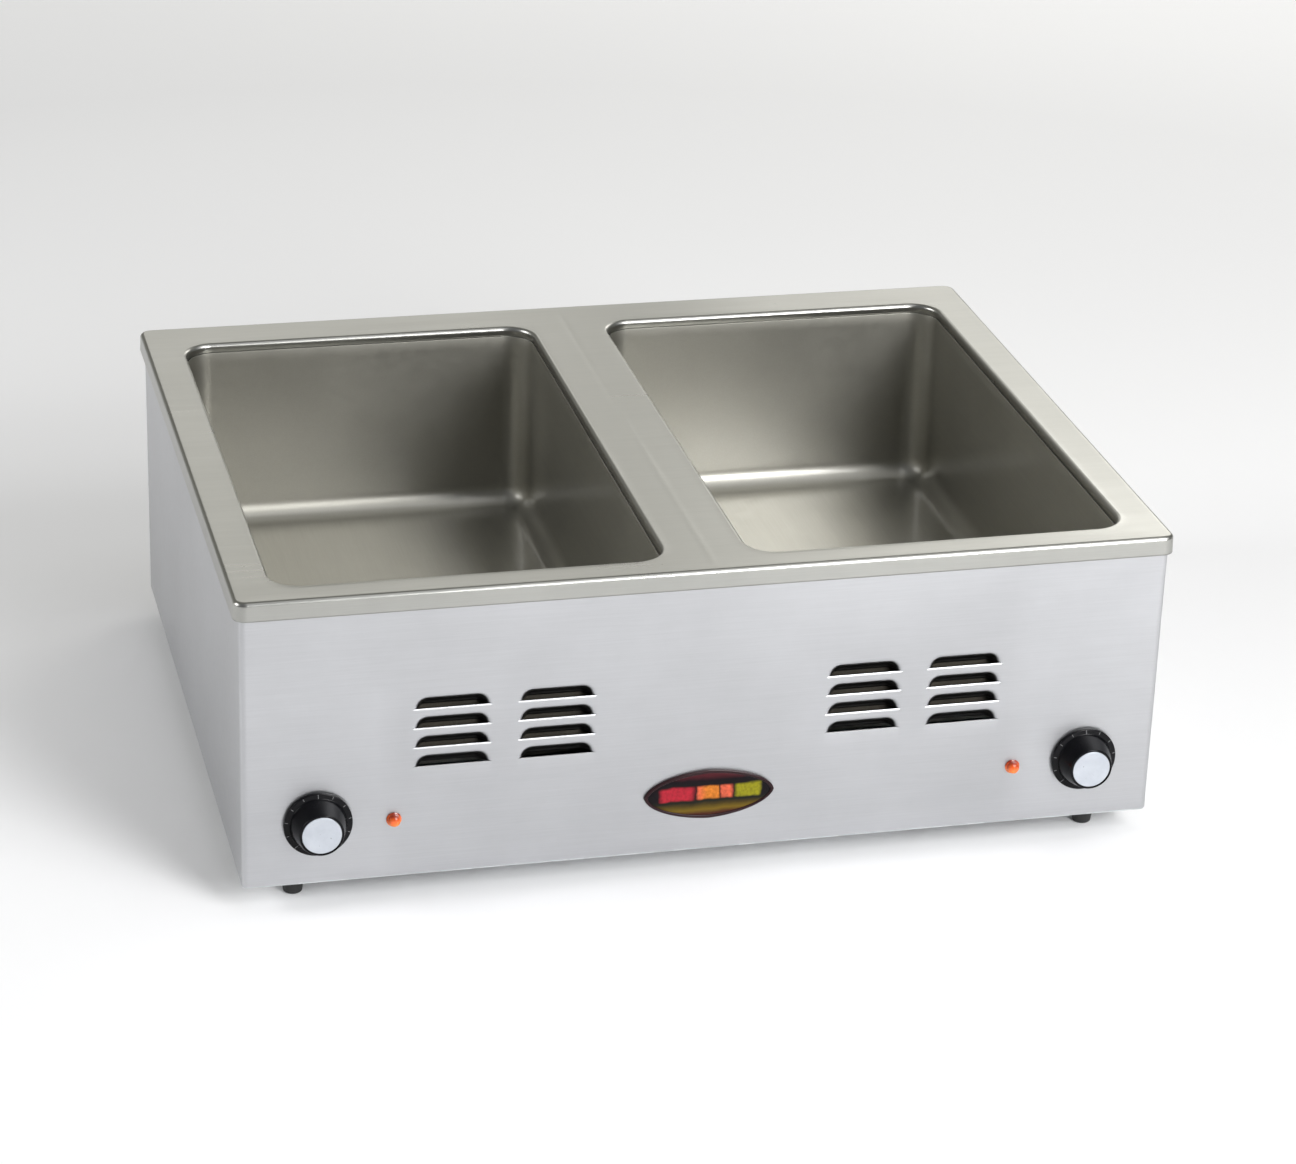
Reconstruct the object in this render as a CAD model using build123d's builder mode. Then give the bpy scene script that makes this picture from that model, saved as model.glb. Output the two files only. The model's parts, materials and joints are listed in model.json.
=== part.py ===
from build123d import *
import os

# Two-well countertop steam table.
# Millimetres, +Z up, front towards -Y, +X to the right of someone facing the front.
# The origin is on the surface the unit stands on, under the centre of its bounding box.

os.makedirs("parts", exist_ok=True)

# ---------------------------------------------------------------- driving dimensions
sheet = 1.2                 # every folded panel and both wells

deck_w = 736.0
deck_d = 578.0
deck_drop = 15.0            # skirt folded down round the deck
deck_bend = 3.5             # outside bend radius of the deck
deck_corner = 10.0          # corner radius of the deck in plan
overhang = 4.0              # deck past the body on every side
body_h = 239.5              # bottom plate underside to deck top
foot_h = 21.0
knob_reach = 21.5           # knob in front of the front panel
gland_reach = 20.0          # cord gland behind the back panel

well_w = 302.0
well_d = 505.0
well_depth = 165.0
well_gap = 66.0             # bar of deck between the wells
well_front = 28.0           # deck front edge to well
well_corner = 24.0
well_cove = 18.0
well_bend = 3.5             # rolled edge of the deck openings
collar = 8.0                # deck opening turned down to meet the well wall

body_corner = 5.0           # outside radius of the body's upright corners
base_bend = 2.9             # outside bend radius along the body's lower edges
lip = 14.0                  # return lips of the body panels

knob_x = 306.0
knob_drop = 188.0           # knob axis below the deck top
lamp_x = 247.5
lamp_drop = 190.5
badge_drop = 191.0
badge_size = (104.0, 42.0)

louvre_w = 59.0
louvre_h = 10.5
louvre_depth = 9.0
louvre_taper = 43.0         # slope of the pressed-in hood, in degrees
louvre_skin = 1.64          # sheet thickness measured across the hood's slope
louvre_columns = (-202.5, -121.5, 121.5, 202.5)
louvre_rows = 4
louvre_pitch = 16.2
louvre_drop = 99.0          # lower edge of the top row below the deck top

foot_x = 321.0
foot_inset = 30.0           # foot axis from the body's front and back faces

tolerance = 0.01            # for picking faces and edges by their position

# ---------------------------------------------------------------- derived planes
deck_top = foot_h + body_h
deck_y = (knob_reach - gland_reach) / 2
body_w = deck_w - 2 * overhang
body_d = deck_d - 2 * overhang
front_y = deck_y - body_d / 2               # outer face of the front panel
back_y = deck_y + body_d / 2                # outer face of the back panel
wall_bottom = foot_h + sheet
wall_top = deck_top - sheet

well_x = (well_gap + well_w) / 2
well_y = deck_y - deck_d / 2 + well_front + well_d / 2
well_floor = deck_top - well_depth
well_under = well_floor - sheet
well_spots = [(-well_x, well_y), (well_x, well_y)]

knob_z = deck_top - knob_drop
lamp_z = deck_top - lamp_drop
badge_z = deck_top - badge_drop
sides = (("left", -1), ("right", 1))

foot_spots = [(x, y) for x in (-foot_x, foot_x) for y in (front_y + foot_inset, back_y - foot_inset)]


def save(piece, label):
    """Label a finished piece and write it as its own STEP file."""
    piece.part.label = label
    export_step(piece.part, f"parts/{label}.step")


def facing_front(x, z, forward=0.0):
    """Plane parallel to the front panel, its normal towards the user."""
    return across(x, front_y - forward, z)


def across(x, y, z):
    """Upright plane across the unit at any depth, its normal towards the front."""
    return Plane(origin=(x, y, z), x_dir=(1, 0, 0), z_dir=(0, -1, 0))


def lathe_plane(x, z):
    """Plane for turned profiles: first coordinate is radius, second is distance out of the panel."""
    return Plane(origin=(x, front_y, z), x_dir=(1, 0, 0), z_dir=(0, 0, -1))


def tube_along(points, tube_r, bend_r):
    """Round wire or tube along straight runs joined by tangent arcs."""
    with BuildPart() as tube:
        with BuildLine() as path:
            FilletPolyline(*points, radius=bend_r)
        with BuildSketch(Plane(origin=path.line @ 0, z_dir=path.line % 0)):
            Circle(tube_r)
        sweep(path=path.line)
    return tube.part


def nut_profile(spots, base_z, flats, hole_r):
    """Outlines of identical hexagon nuts lying flat."""
    with BuildSketch(Plane.XY.offset(base_z)) as profile:
        with Locations(*spots):
            RegularPolygon(flats / 2, 6, major_radius=False)
            Circle(hole_r, mode=Mode.SUBTRACT)
    return profile.sketch


# ---------------------------------------------------------------- deck
with BuildPart() as deck:
    with BuildSketch(Plane.XY.offset(deck_top - deck_drop)):
        with Locations((0, deck_y)):
            Rectangle(deck_w, deck_d)
    extrude(amount=deck_drop)
    fillet(deck.edges().filter_by(Axis.Z), radius=deck_corner)
    fillet(deck.faces().sort_by(Axis.Z)[-1].edges(), radius=deck_bend)
    offset(amount=-sheet, openings=deck.faces().sort_by(Axis.Z)[0])
    # collars turned down round both openings
    with BuildSketch(Plane.XY.offset(deck_top - collar)):
        with Locations(*well_spots):
            RectangleRounded(well_w + 2 * sheet, well_d + 2 * sheet, well_corner + sheet)
    extrude(amount=collar)
    with BuildSketch(Plane.XY.offset(deck_top - collar)):
        with Locations(*well_spots):
            RectangleRounded(well_w, well_d, well_corner)
    extrude(amount=collar, mode=Mode.SUBTRACT)
    underside_z = deck_top - sheet
    underside = deck.faces().filter_by_position(Axis.Z, underside_z - tolerance, underside_z + tolerance)[0]
    fillet(underside.inner_wires().edges(), radius=well_bend - sheet)
    top_face = deck.faces().sort_by(Axis.Z)[-1]
    fillet(top_face.inner_wires().edges(), radius=well_bend)
save(deck, "deck")

# ---------------------------------------------------------------- wells
stud_r = 3.0
stud_offsets = (-90.0, 130.0)
stud_length = 49.5

for side, sign in sides:
    with BuildPart() as well:
        with BuildSketch(Plane.XY.offset(well_under)):
            with Locations((sign * well_x, well_y)):
                RectangleRounded(well_w + 2 * sheet, well_d + 2 * sheet, well_corner + sheet)
        extrude(amount=deck_top - collar - well_under)
        fillet(well.faces().sort_by(Axis.Z)[0].edges(), radius=well_cove + sheet)
        offset(amount=-sheet, openings=well.faces().sort_by(Axis.Z)[-1])
        # studs welded under the floor carry the heater clamps and the heat pan
        with BuildSketch(Plane.XY.offset(well_under)):
            with Locations(*[(sign * well_x, well_y + y) for y in stud_offsets]):
                Circle(stud_r)
        extrude(amount=-stud_length)
    save(well, f"well_{side}")

# ---------------------------------------------------------------- body wrap
with BuildPart() as hood:
    with BuildSketch(Plane.XZ):
        SlotOverall(louvre_w + 2 * louvre_skin, 2 * (louvre_h + louvre_skin))
    extrude(amount=-(louvre_depth + sheet), taper=louvre_taper)
    split(bisect_by=Plane.XY)

with BuildPart() as hood_cavity:
    with BuildSketch(Plane.XZ):
        SlotOverall(louvre_w, 2 * louvre_h)
    extrude(amount=-louvre_depth, taper=louvre_taper)
    split(bisect_by=Plane.XY)

louvre_spots = [
    (x, front_y, deck_top - louvre_drop - row * louvre_pitch)
    for x in louvre_columns
    for row in range(louvre_rows)
]
shaft_hole_r = 5.5
fixing_pitch = 28.0         # thermostat fixing screws, centre to centre
fixing_hole_r = 2.2
lamp_hole_r = 4.0
screw_hole_r = 2.1
lip_screw_x = body_w / 2 - lip / 2
side_screw_inset = 90.0     # outer side screws from the front and back faces
end_screw_x = 180.0
rear_screw_heights = (60.0, 140.0, 220.0)
side_screw_spots = [
    (x, y)
    for x in (-lip_screw_x, lip_screw_x)
    for y in (front_y + side_screw_inset, deck_y, back_y - side_screw_inset)
]
front_screw_spots = [(x, front_y + lip / 2) for x in (-end_screw_x, end_screw_x)]
rear_screw_spots = [(x, back_y - lip / 2) for x in (-end_screw_x, end_screw_x)]
rear_hole_plane = Plane(origin=(0, back_y, 0), x_dir=(-1, 0, 0), z_dir=(0, 1, 0))
rear_hole_spots = [(x, z) for x in (-lip_screw_x, lip_screw_x) for z in rear_screw_heights]

with BuildPart() as body_wrap:
    wrap_d = body_d - sheet
    with BuildSketch(Plane.XY.offset(wall_bottom)):
        with Locations((0, front_y + wrap_d / 2)):
            RectangleRounded(body_w, wrap_d, body_corner)
    extrude(amount=wall_top - wall_bottom)
    fillet(body_wrap.faces().sort_by(Axis.Z)[0].edges(), radius=base_bend)
    offset(amount=-sheet, openings=body_wrap.faces().sort_by(Axis.Z)[-1])
    # open the bottom and the back, leaving the return lips
    with BuildSketch(Plane.XY.offset(wall_bottom)):
        with Locations((0, front_y + wrap_d / 2)):
            Rectangle(body_w - 2 * lip, wrap_d - 2 * lip)
        with Locations((0, back_y - lip)):
            Rectangle(body_w - 2 * lip, 2 * lip + 2 * sheet)
    extrude(amount=wall_top - wall_bottom, mode=Mode.SUBTRACT)
    # louvres pressed inwards, open along their lower edge
    with Locations(*louvre_spots):
        add(hood.part)
    with Locations(*louvre_spots):
        add(hood_cavity.part, mode=Mode.SUBTRACT)
    # holes for the controls and lamps
    for sign in (-1, 1):
        with BuildSketch(facing_front(sign * knob_x, knob_z)):
            Circle(shaft_hole_r)
            with Locations((-fixing_pitch / 2, 0), (fixing_pitch / 2, 0)):
                Circle(fixing_hole_r)
        extrude(amount=-2 * sheet, mode=Mode.SUBTRACT)
        with BuildSketch(facing_front(sign * lamp_x, lamp_z)):
            Circle(lamp_hole_r)
        extrude(amount=-2 * sheet, mode=Mode.SUBTRACT)
    # screw holes in the bottom lips
    with BuildSketch(Plane.XY.offset(wall_bottom)):
        with Locations(*side_screw_spots, *front_screw_spots):
            Circle(screw_hole_r)
    extrude(amount=2 * sheet, mode=Mode.SUBTRACT)
    # screw holes in the rear lips
    with BuildSketch(rear_hole_plane):
        with Locations(*rear_hole_spots):
            Circle(screw_hole_r)
    extrude(amount=-3 * sheet, mode=Mode.SUBTRACT)
save(body_wrap, "body_wrap")

# ---------------------------------------------------------------- back panel
gland_x = 300.0
gland_z = 60.0
gland_thread_r = 10.0
gland_clearance = 0.2       # hole in the panel round the gland's thread
flange_gap = 1.0            # back panel's bottom flange clear of the side lips

with BuildPart() as back_panel:
    with BuildSketch(Plane.XY.offset(wall_bottom)):
        with Locations((0, back_y - sheet / 2)):
            Rectangle(body_w - 2 * body_corner, sheet)
    extrude(amount=wall_top - wall_bottom)
    with BuildSketch(Plane.XY.offset(wall_bottom)):
        with Locations((0, back_y - lip / 2)):
            Rectangle(body_w - 2 * (lip + flange_gap), lip)
    extrude(amount=sheet)
    with BuildSketch(rear_hole_plane):
        with Locations(*rear_hole_spots):
            Circle(screw_hole_r)
        with Locations((-gland_x, gland_z)):
            Circle(gland_thread_r + gland_clearance)
    extrude(amount=-3 * sheet, mode=Mode.SUBTRACT)
    with BuildSketch(Plane.XY.offset(wall_bottom)):
        with Locations(*rear_screw_spots):
            Circle(screw_hole_r)
    extrude(amount=2 * sheet, mode=Mode.SUBTRACT)
save(back_panel, "back_panel")

# ---------------------------------------------------------------- bottom plate
foot_screw_r = 2.5
earth_spot = (140.0, 264.0)
earth_r = 2.5
plate_margin = 0.5          # bottom plate inside the body's outline
bolt_clearance = 0.3
vent_size = (60.0, 5.0)
vent_pitch = (72.0, 12.0)
vent_x = 230.0
vent_inset = 40.0           # middle of each group of vents behind the front panel

with BuildPart() as bottom_plate:
    with BuildSketch(Plane.XY.offset(foot_h)):
        with Locations((0, deck_y)):
            RectangleRounded(body_w - 2 * plate_margin, body_d - 2 * plate_margin, body_corner)
        with Locations(*side_screw_spots, *front_screw_spots, *rear_screw_spots):
            Circle(screw_hole_r, mode=Mode.SUBTRACT)
        with Locations(*foot_spots, earth_spot):
            Circle(foot_screw_r + bolt_clearance, mode=Mode.SUBTRACT)
        # slots that let cool air in beside the controls
        with Locations((-vent_x, front_y + vent_inset), (vent_x, front_y + vent_inset)):
            with GridLocations(*vent_pitch, 2, 3):
                SlotOverall(*vent_size, mode=Mode.SUBTRACT)
    extrude(amount=sheet)
save(bottom_plate, "bottom_plate")
plate_top = foot_h + sheet

# ---------------------------------------------------------------- feet and their fixings
foot_top_r = 9.5
foot_tip_r = 7.5
foot_tip_round = 1.5
foot_rim = 4.0              # straight band at the top of each foot
foot_bore_gap = 0.1         # foot clear of its screw
foot_recess_r = 4.6
foot_recess = 9.0
foot_head_r = 4.2
foot_head_h = 3.0
nut_h = 4.0
nut_flats = 8.0
thread_past_nut = 1.0
eye_gap = 2.0               # room for the earth wire's eye between its two nuts

for (x, y), place in zip(foot_spots, ("front_left", "back_left", "front_right", "back_right")):
    with BuildPart() as foot:
        with BuildSketch(Plane(origin=(x, y, 0), x_dir=(1, 0, 0), z_dir=(0, -1, 0))):
            with BuildLine():
                Line((foot_recess_r, 0), (foot_tip_r - foot_tip_round, 0))
                RadiusArc((foot_tip_r - foot_tip_round, 0), (foot_tip_r, foot_tip_round), -foot_tip_round)
                Polyline(
                    (foot_tip_r, foot_tip_round),
                    (foot_top_r, foot_h - foot_rim),
                    (foot_top_r, foot_h),
                    (foot_screw_r + foot_bore_gap, foot_h),
                    (foot_screw_r + foot_bore_gap, foot_recess),
                    (foot_recess_r, foot_recess),
                    (foot_recess_r, 0),
                )
            make_face()
        revolve(axis=Axis((x, y, 0), (0, 0, 1)))
    save(foot, f"foot_{place}")

with BuildPart() as foot_screws:
    with BuildSketch(Plane.XY.offset(foot_recess)):
        with Locations(*foot_spots):
            Circle(foot_head_r)
    extrude(amount=-foot_head_h)
    with BuildSketch(Plane.XY.offset(foot_recess)):
        with Locations(*foot_spots):
            Circle(foot_screw_r)
    extrude(amount=plate_top + nut_h + thread_past_nut - foot_recess)
save(foot_screws, "foot_screws")

with BuildPart() as plate_nuts:
    extrude(nut_profile([*foot_spots, earth_spot], plate_top, nut_flats, foot_screw_r), amount=nut_h)
    # second nut on the earth stud clamps the earth wire's eye
    extrude(nut_profile([earth_spot], plate_top + nut_h + eye_gap, nut_flats, foot_screw_r), amount=nut_h)
save(plate_nuts, "plate_nuts")

# ---------------------------------------------------------------- panel screws
screw_r = 2.0
screw_head_r = 3.6
screw_head_h = 2.0
screw_head_round = 1.2
screw_grip = 6.0

with BuildPart() as panel_screws:
    bottom_screw_spots = side_screw_spots + front_screw_spots + rear_screw_spots
    for plane, spots in (
        (Plane.XY.offset(foot_h).rotated((180, 0, 0)), [(x, -y) for x, y in bottom_screw_spots]),
        (rear_hole_plane, rear_hole_spots),
    ):
        with BuildSketch(plane):
            with Locations(*spots):
                Circle(screw_head_r)
        extrude(amount=screw_head_h)
        with BuildSketch(plane):
            with Locations(*spots):
                Circle(screw_r)
        extrude(amount=-screw_grip)
    head_rims = panel_screws.edges().filter_by(GeomType.CIRCLE).filter_by(
        lambda edge: abs(edge.radius - screw_head_r) < tolerance
    )
    outer_rims = head_rims.filter_by(
        lambda edge: edge.arc_center.Z < foot_h - tolerance or edge.arc_center.Y > back_y + tolerance
    )
    fillet(outer_rims, radius=screw_head_round)
save(panel_screws, "panel_screws")

# ---------------------------------------------------------------- badge
badge_rim = 3.0
badge_thick = 2.4
badge_recess = 0.9
badge_round = 0.8
inlay_fit = 0.05            # inlay clear of the recess all round
inlay_drop = 0.2            # inlay below the rim

with BuildPart() as badge_plate:
    with BuildSketch(facing_front(0, badge_z)):
        Ellipse(badge_size[0] / 2, badge_size[1] / 2)
    extrude(amount=badge_thick)
    fillet(badge_plate.faces().sort_by(Axis.Y)[0].edges(), radius=badge_round)
    with BuildSketch(facing_front(0, badge_z, badge_thick)):
        Ellipse(badge_size[0] / 2 - badge_rim, badge_size[1] / 2 - badge_rim)
    extrude(amount=-badge_recess, mode=Mode.SUBTRACT)
save(badge_plate, "badge_plate")

with BuildPart() as badge_inlay:
    with BuildSketch(facing_front(0, badge_z, badge_thick - badge_recess)):
        Ellipse(badge_size[0] / 2 - badge_rim - inlay_fit, badge_size[1] / 2 - badge_rim - inlay_fit)
    extrude(amount=badge_recess - inlay_drop)
save(badge_inlay, "badge_inlay")

# ---------------------------------------------------------------- knobs, caps and shafts
skirt_r = 26.5
skirt_gap = 0.8
skirt_edge = 3.0            # thickness of the skirt's rim
skirt_lip = 1.5             # rim of the skirt that faces the panel
skirt_rise = 1.2            # slope from the skirt's rim up to the grip
grip_base_r = 22.0
grip_tip_r = 17.0
grip_round = 0.6
knob_wall = 2.0
knob_web = 4.0              # thickness of the knob's front
hollow_start = 2.8          # knob's hollow and hub in front of the panel
cap_r = 15.2
cap_thick = 1.0
cap_fit = 0.05
cap_round = 0.4
hub_r = 6.5
hub_start = 3.0
shaft_r = 3.0
shaft_flat = 2.0            # distance of the shaft's flat from its axis
shaft_fit = 0.05
shaft_front = 15.0          # shaft end in front of the panel
shaft_back = 16.0           # shaft end behind the panel's outer face
shaft_end_gap = 0.2
flat_start = 2.5            # start of the shaft's flat in front of the panel
collar_r = 4.6
collar_back = 12.0
collar_thick = 1.5
plate_thick = 1.5           # thermostat mounting plate
bushing_r = 5.0
bushing_reach = 1.0         # bushing in front of the panel

for side, sign in sides:
    axis_x = sign * knob_x
    spindle = Axis((axis_x, front_y, knob_z), (0, -1, 0))

    with BuildPart() as knob:
        with BuildSketch(lathe_plane(axis_x, knob_z)):
            with BuildLine():
                Polyline(
                    (hub_r, hub_start),
                    (hub_r, knob_reach - knob_web),
                    (grip_tip_r - knob_wall, knob_reach - knob_web),
                    (grip_base_r - knob_wall, hollow_start),
                    (skirt_r - skirt_lip, skirt_gap + grip_round),
                    (skirt_r - skirt_lip, skirt_gap),
                    (skirt_r, skirt_gap),
                    (skirt_r, skirt_gap + skirt_edge - grip_round),
                    (skirt_r - grip_round, skirt_gap + skirt_edge),
                    (grip_base_r, skirt_gap + skirt_edge + skirt_rise),
                    (grip_tip_r, knob_reach - grip_round),
                    (grip_tip_r - grip_round, knob_reach),
                    (cap_r + cap_fit, knob_reach),
                    (cap_r + cap_fit, knob_reach - cap_thick),
                    (0, knob_reach - cap_thick),
                    (0, hub_start),
                    (hub_r, hub_start),
                )
            make_face()
        revolve(axis=spindle)
        # D-shaped socket for the shaft
        with BuildSketch(facing_front(axis_x, knob_z)):
            Circle(shaft_r + shaft_fit)
            with Locations((0, shaft_flat + shaft_fit + shaft_r)):
                Rectangle(4 * shaft_r, 2 * shaft_r, mode=Mode.SUBTRACT)
        extrude(amount=shaft_front + shaft_end_gap, mode=Mode.SUBTRACT)
    save(knob, f"knob_{side}")

    with BuildPart() as cap:
        with BuildSketch(facing_front(axis_x, knob_z, knob_reach - cap_thick)):
            Circle(cap_r)
        extrude(amount=cap_thick)
        fillet(cap.faces().sort_by(Axis.Y)[0].edges(), radius=cap_round)
    save(cap, f"knob_cap_{side}")

    with BuildPart() as shaft:
        with BuildSketch(facing_front(axis_x, knob_z, -shaft_back)):
            Circle(shaft_r)
        extrude(amount=shaft_back + shaft_front)
        # flat along the part that the knob grips
        with BuildSketch(facing_front(axis_x, knob_z, flat_start)):
            with Locations((0, shaft_flat + shaft_r)):
                Rectangle(4 * shaft_r, 2 * shaft_r)
        extrude(amount=shaft_front, mode=Mode.SUBTRACT)
        # collar that keeps the shaft in the thermostat
        with BuildSketch(facing_front(axis_x, knob_z, -collar_back)):
            Circle(collar_r)
        extrude(amount=collar_thick)
    save(shaft, f"thermostat_shaft_{side}")

# ---------------------------------------------------------------- thermostats
thermostat_size = (36.0, 34.0)
thermostat_depth = 34.0
plate_size = (44.0, 26.0)
inner_y = front_y + sheet                   # inner face of the front panel
case_y = inner_y + plate_thick
tab_z = knob_z - thermostat_size[1] / 2     # underside of the case, where its spade terminals stand
tab_y = case_y + 20.0
spade_size = (0.8, 6.3)
spade_length = 8.0
spade_pitch = 14.0
case_round = 3.0
collar_room = 0.6           # case clear of the shaft's collar
fixing_head_r = 3.4
fixing_head_h = 1.8
fixing_length = 6.0
bushing_length = bushing_reach + sheet + plate_thick

for side, sign in sides:
    axis_x = sign * knob_x
    with BuildPart() as thermostat_plate:
        with BuildSketch(facing_front(axis_x, knob_z, -sheet)):
            Rectangle(*plate_size)
            with Locations((-fixing_pitch / 2, 0), (fixing_pitch / 2, 0)):
                Circle(fixing_hole_r, mode=Mode.SUBTRACT)
        extrude(amount=-plate_thick)
        # bushing that stands through the panel's hole
        with BuildSketch(facing_front(axis_x, knob_z, bushing_reach)):
            Circle(bushing_r)
        extrude(amount=-bushing_length)
        with BuildSketch(facing_front(axis_x, knob_z, bushing_reach)):
            Circle(shaft_r + shaft_fit)
        extrude(amount=-bushing_length, mode=Mode.SUBTRACT)
    save(thermostat_plate, f"thermostat_plate_{side}")

    with BuildPart() as thermostat_case:
        with BuildSketch(facing_front(axis_x, knob_z, -(sheet + plate_thick))):
            RectangleRounded(*thermostat_size, case_round)
        extrude(amount=-thermostat_depth)
        # cavity in which the shaft's collar turns
        with BuildSketch(facing_front(axis_x, knob_z, -(sheet + plate_thick))):
            Circle(collar_r + collar_room)
        extrude(amount=-(shaft_back - sheet - plate_thick + collar_room), mode=Mode.SUBTRACT)
        # pockets behind the fixing screws
        with BuildSketch(facing_front(axis_x, knob_z, -(sheet + plate_thick))):
            with Locations((-fixing_pitch / 2, 0), (fixing_pitch / 2, 0)):
                Circle(fixing_hole_r)
        extrude(amount=-fixing_length, mode=Mode.SUBTRACT)
        # spade terminals on the underside
        with BuildSketch(Plane(origin=(axis_x, tab_y, tab_z), x_dir=(1, 0, 0), z_dir=(0, 0, -1))):
            with GridLocations(spade_pitch, spade_pitch, 2, 2):
                Rectangle(*spade_size)
        extrude(amount=spade_length)
    save(thermostat_case, f"thermostat_{side}")

with BuildPart() as thermostat_screws:
    for axis_x in (-knob_x, knob_x):
        for offset_x in (-fixing_pitch / 2, fixing_pitch / 2):
            with BuildSketch(facing_front(axis_x + offset_x, knob_z)):
                Circle(fixing_head_r)
            extrude(amount=fixing_head_h)
            with BuildSketch(facing_front(axis_x + offset_x, knob_z)):
                Circle(screw_r)
            extrude(amount=-fixing_length)
save(thermostat_screws, "thermostat_screws")

# ---------------------------------------------------------------- pilot lamps
lens_r = 5.0
lens_stem_r = 3.9           # part of the lens inside the panel's hole
lens_rim = (5.9, 1.0)       # radius and thickness of the lens's flange
lens_foot = 1.3             # where the lens's straight side starts
lens_reach = 6.5
dome_r = 4.9
dome_start = 20.0           # angle at which the dome leaves the lens's straight side
housing_r = 6.5
housing_length = 24.0
housing_round = 1.5
tab_size = (4.8, 0.8)
tab_length = 7.0
tab_offset = 2.5

for side, sign in sides:
    axis_x = sign * lamp_x
    lamp_axis = Axis((axis_x, front_y, lamp_z), (0, -1, 0))
    with BuildPart() as lens:
        with BuildSketch(lathe_plane(axis_x, lamp_z)):
            with BuildLine():
                Polyline((0, -sheet), (lens_stem_r, -sheet), (lens_stem_r, 0))
                Polyline((lens_stem_r, 0), (lens_rim[0], 0), lens_rim, (lens_r, lens_foot))
                dome = CenterArc((0, lens_reach - dome_r), dome_r, dome_start, 90 - dome_start)
                Line((lens_r, lens_foot), dome @ 0)
                Line((0, lens_reach), (0, -sheet))
            make_face()
        revolve(axis=lamp_axis)
    save(lens, f"pilot_lens_{side}")

    with BuildPart() as housing:
        with BuildSketch(facing_front(axis_x, lamp_z, -sheet)):
            Circle(housing_r)
        extrude(amount=-housing_length)
        fillet(housing.faces().sort_by(Axis.Y)[-1].edges(), radius=housing_round)
        with BuildSketch(facing_front(axis_x, lamp_z, -(sheet + housing_length))):
            with Locations((0, -tab_offset), (0, tab_offset)):
                Rectangle(*tab_size)
        extrude(amount=-tab_length)
    save(housing, f"pilot_housing_{side}")

# ---------------------------------------------------------------- heaters under the wells
element_r = 4.0
heater_gap = 0.2            # between parts stacked under the well
element_z = well_under - element_r - heater_gap
leg_inner = 35.0
leg_outer = 105.0
leg_back = 150.0
leg_front = -120.0
terminal_y = -203.0
turn_r = (leg_outer - leg_inner) / 2
pin_r = 2.0
pin_length = 8.0

clamp_top = element_z - element_r - heater_gap
clamp_size = (240.0, 16.0, 1.5)
clamp_bottom = clamp_top - clamp_size[2]
stud_nut_h = 5.0
stud_nut_flats = 10.0

pan_w = 250.0
pan_front = -180.0
pan_back = 220.0
pan_floor = 50.0
pan_y = (pan_front + pan_back) / 2
pan_corner = 4.0
pan_slot = (11.0, 10.99)    # holes through which the element's ends leave
stud_clearance = 0.3
pad_top = 74.0
pad_gap = 0.5
pad_corner = 3.0
pad_hole_r = 4.0
jacket = 10.0               # mineral wool round the well's walls
jacket_drop = 22.0          # its top edge below the deck top

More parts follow.
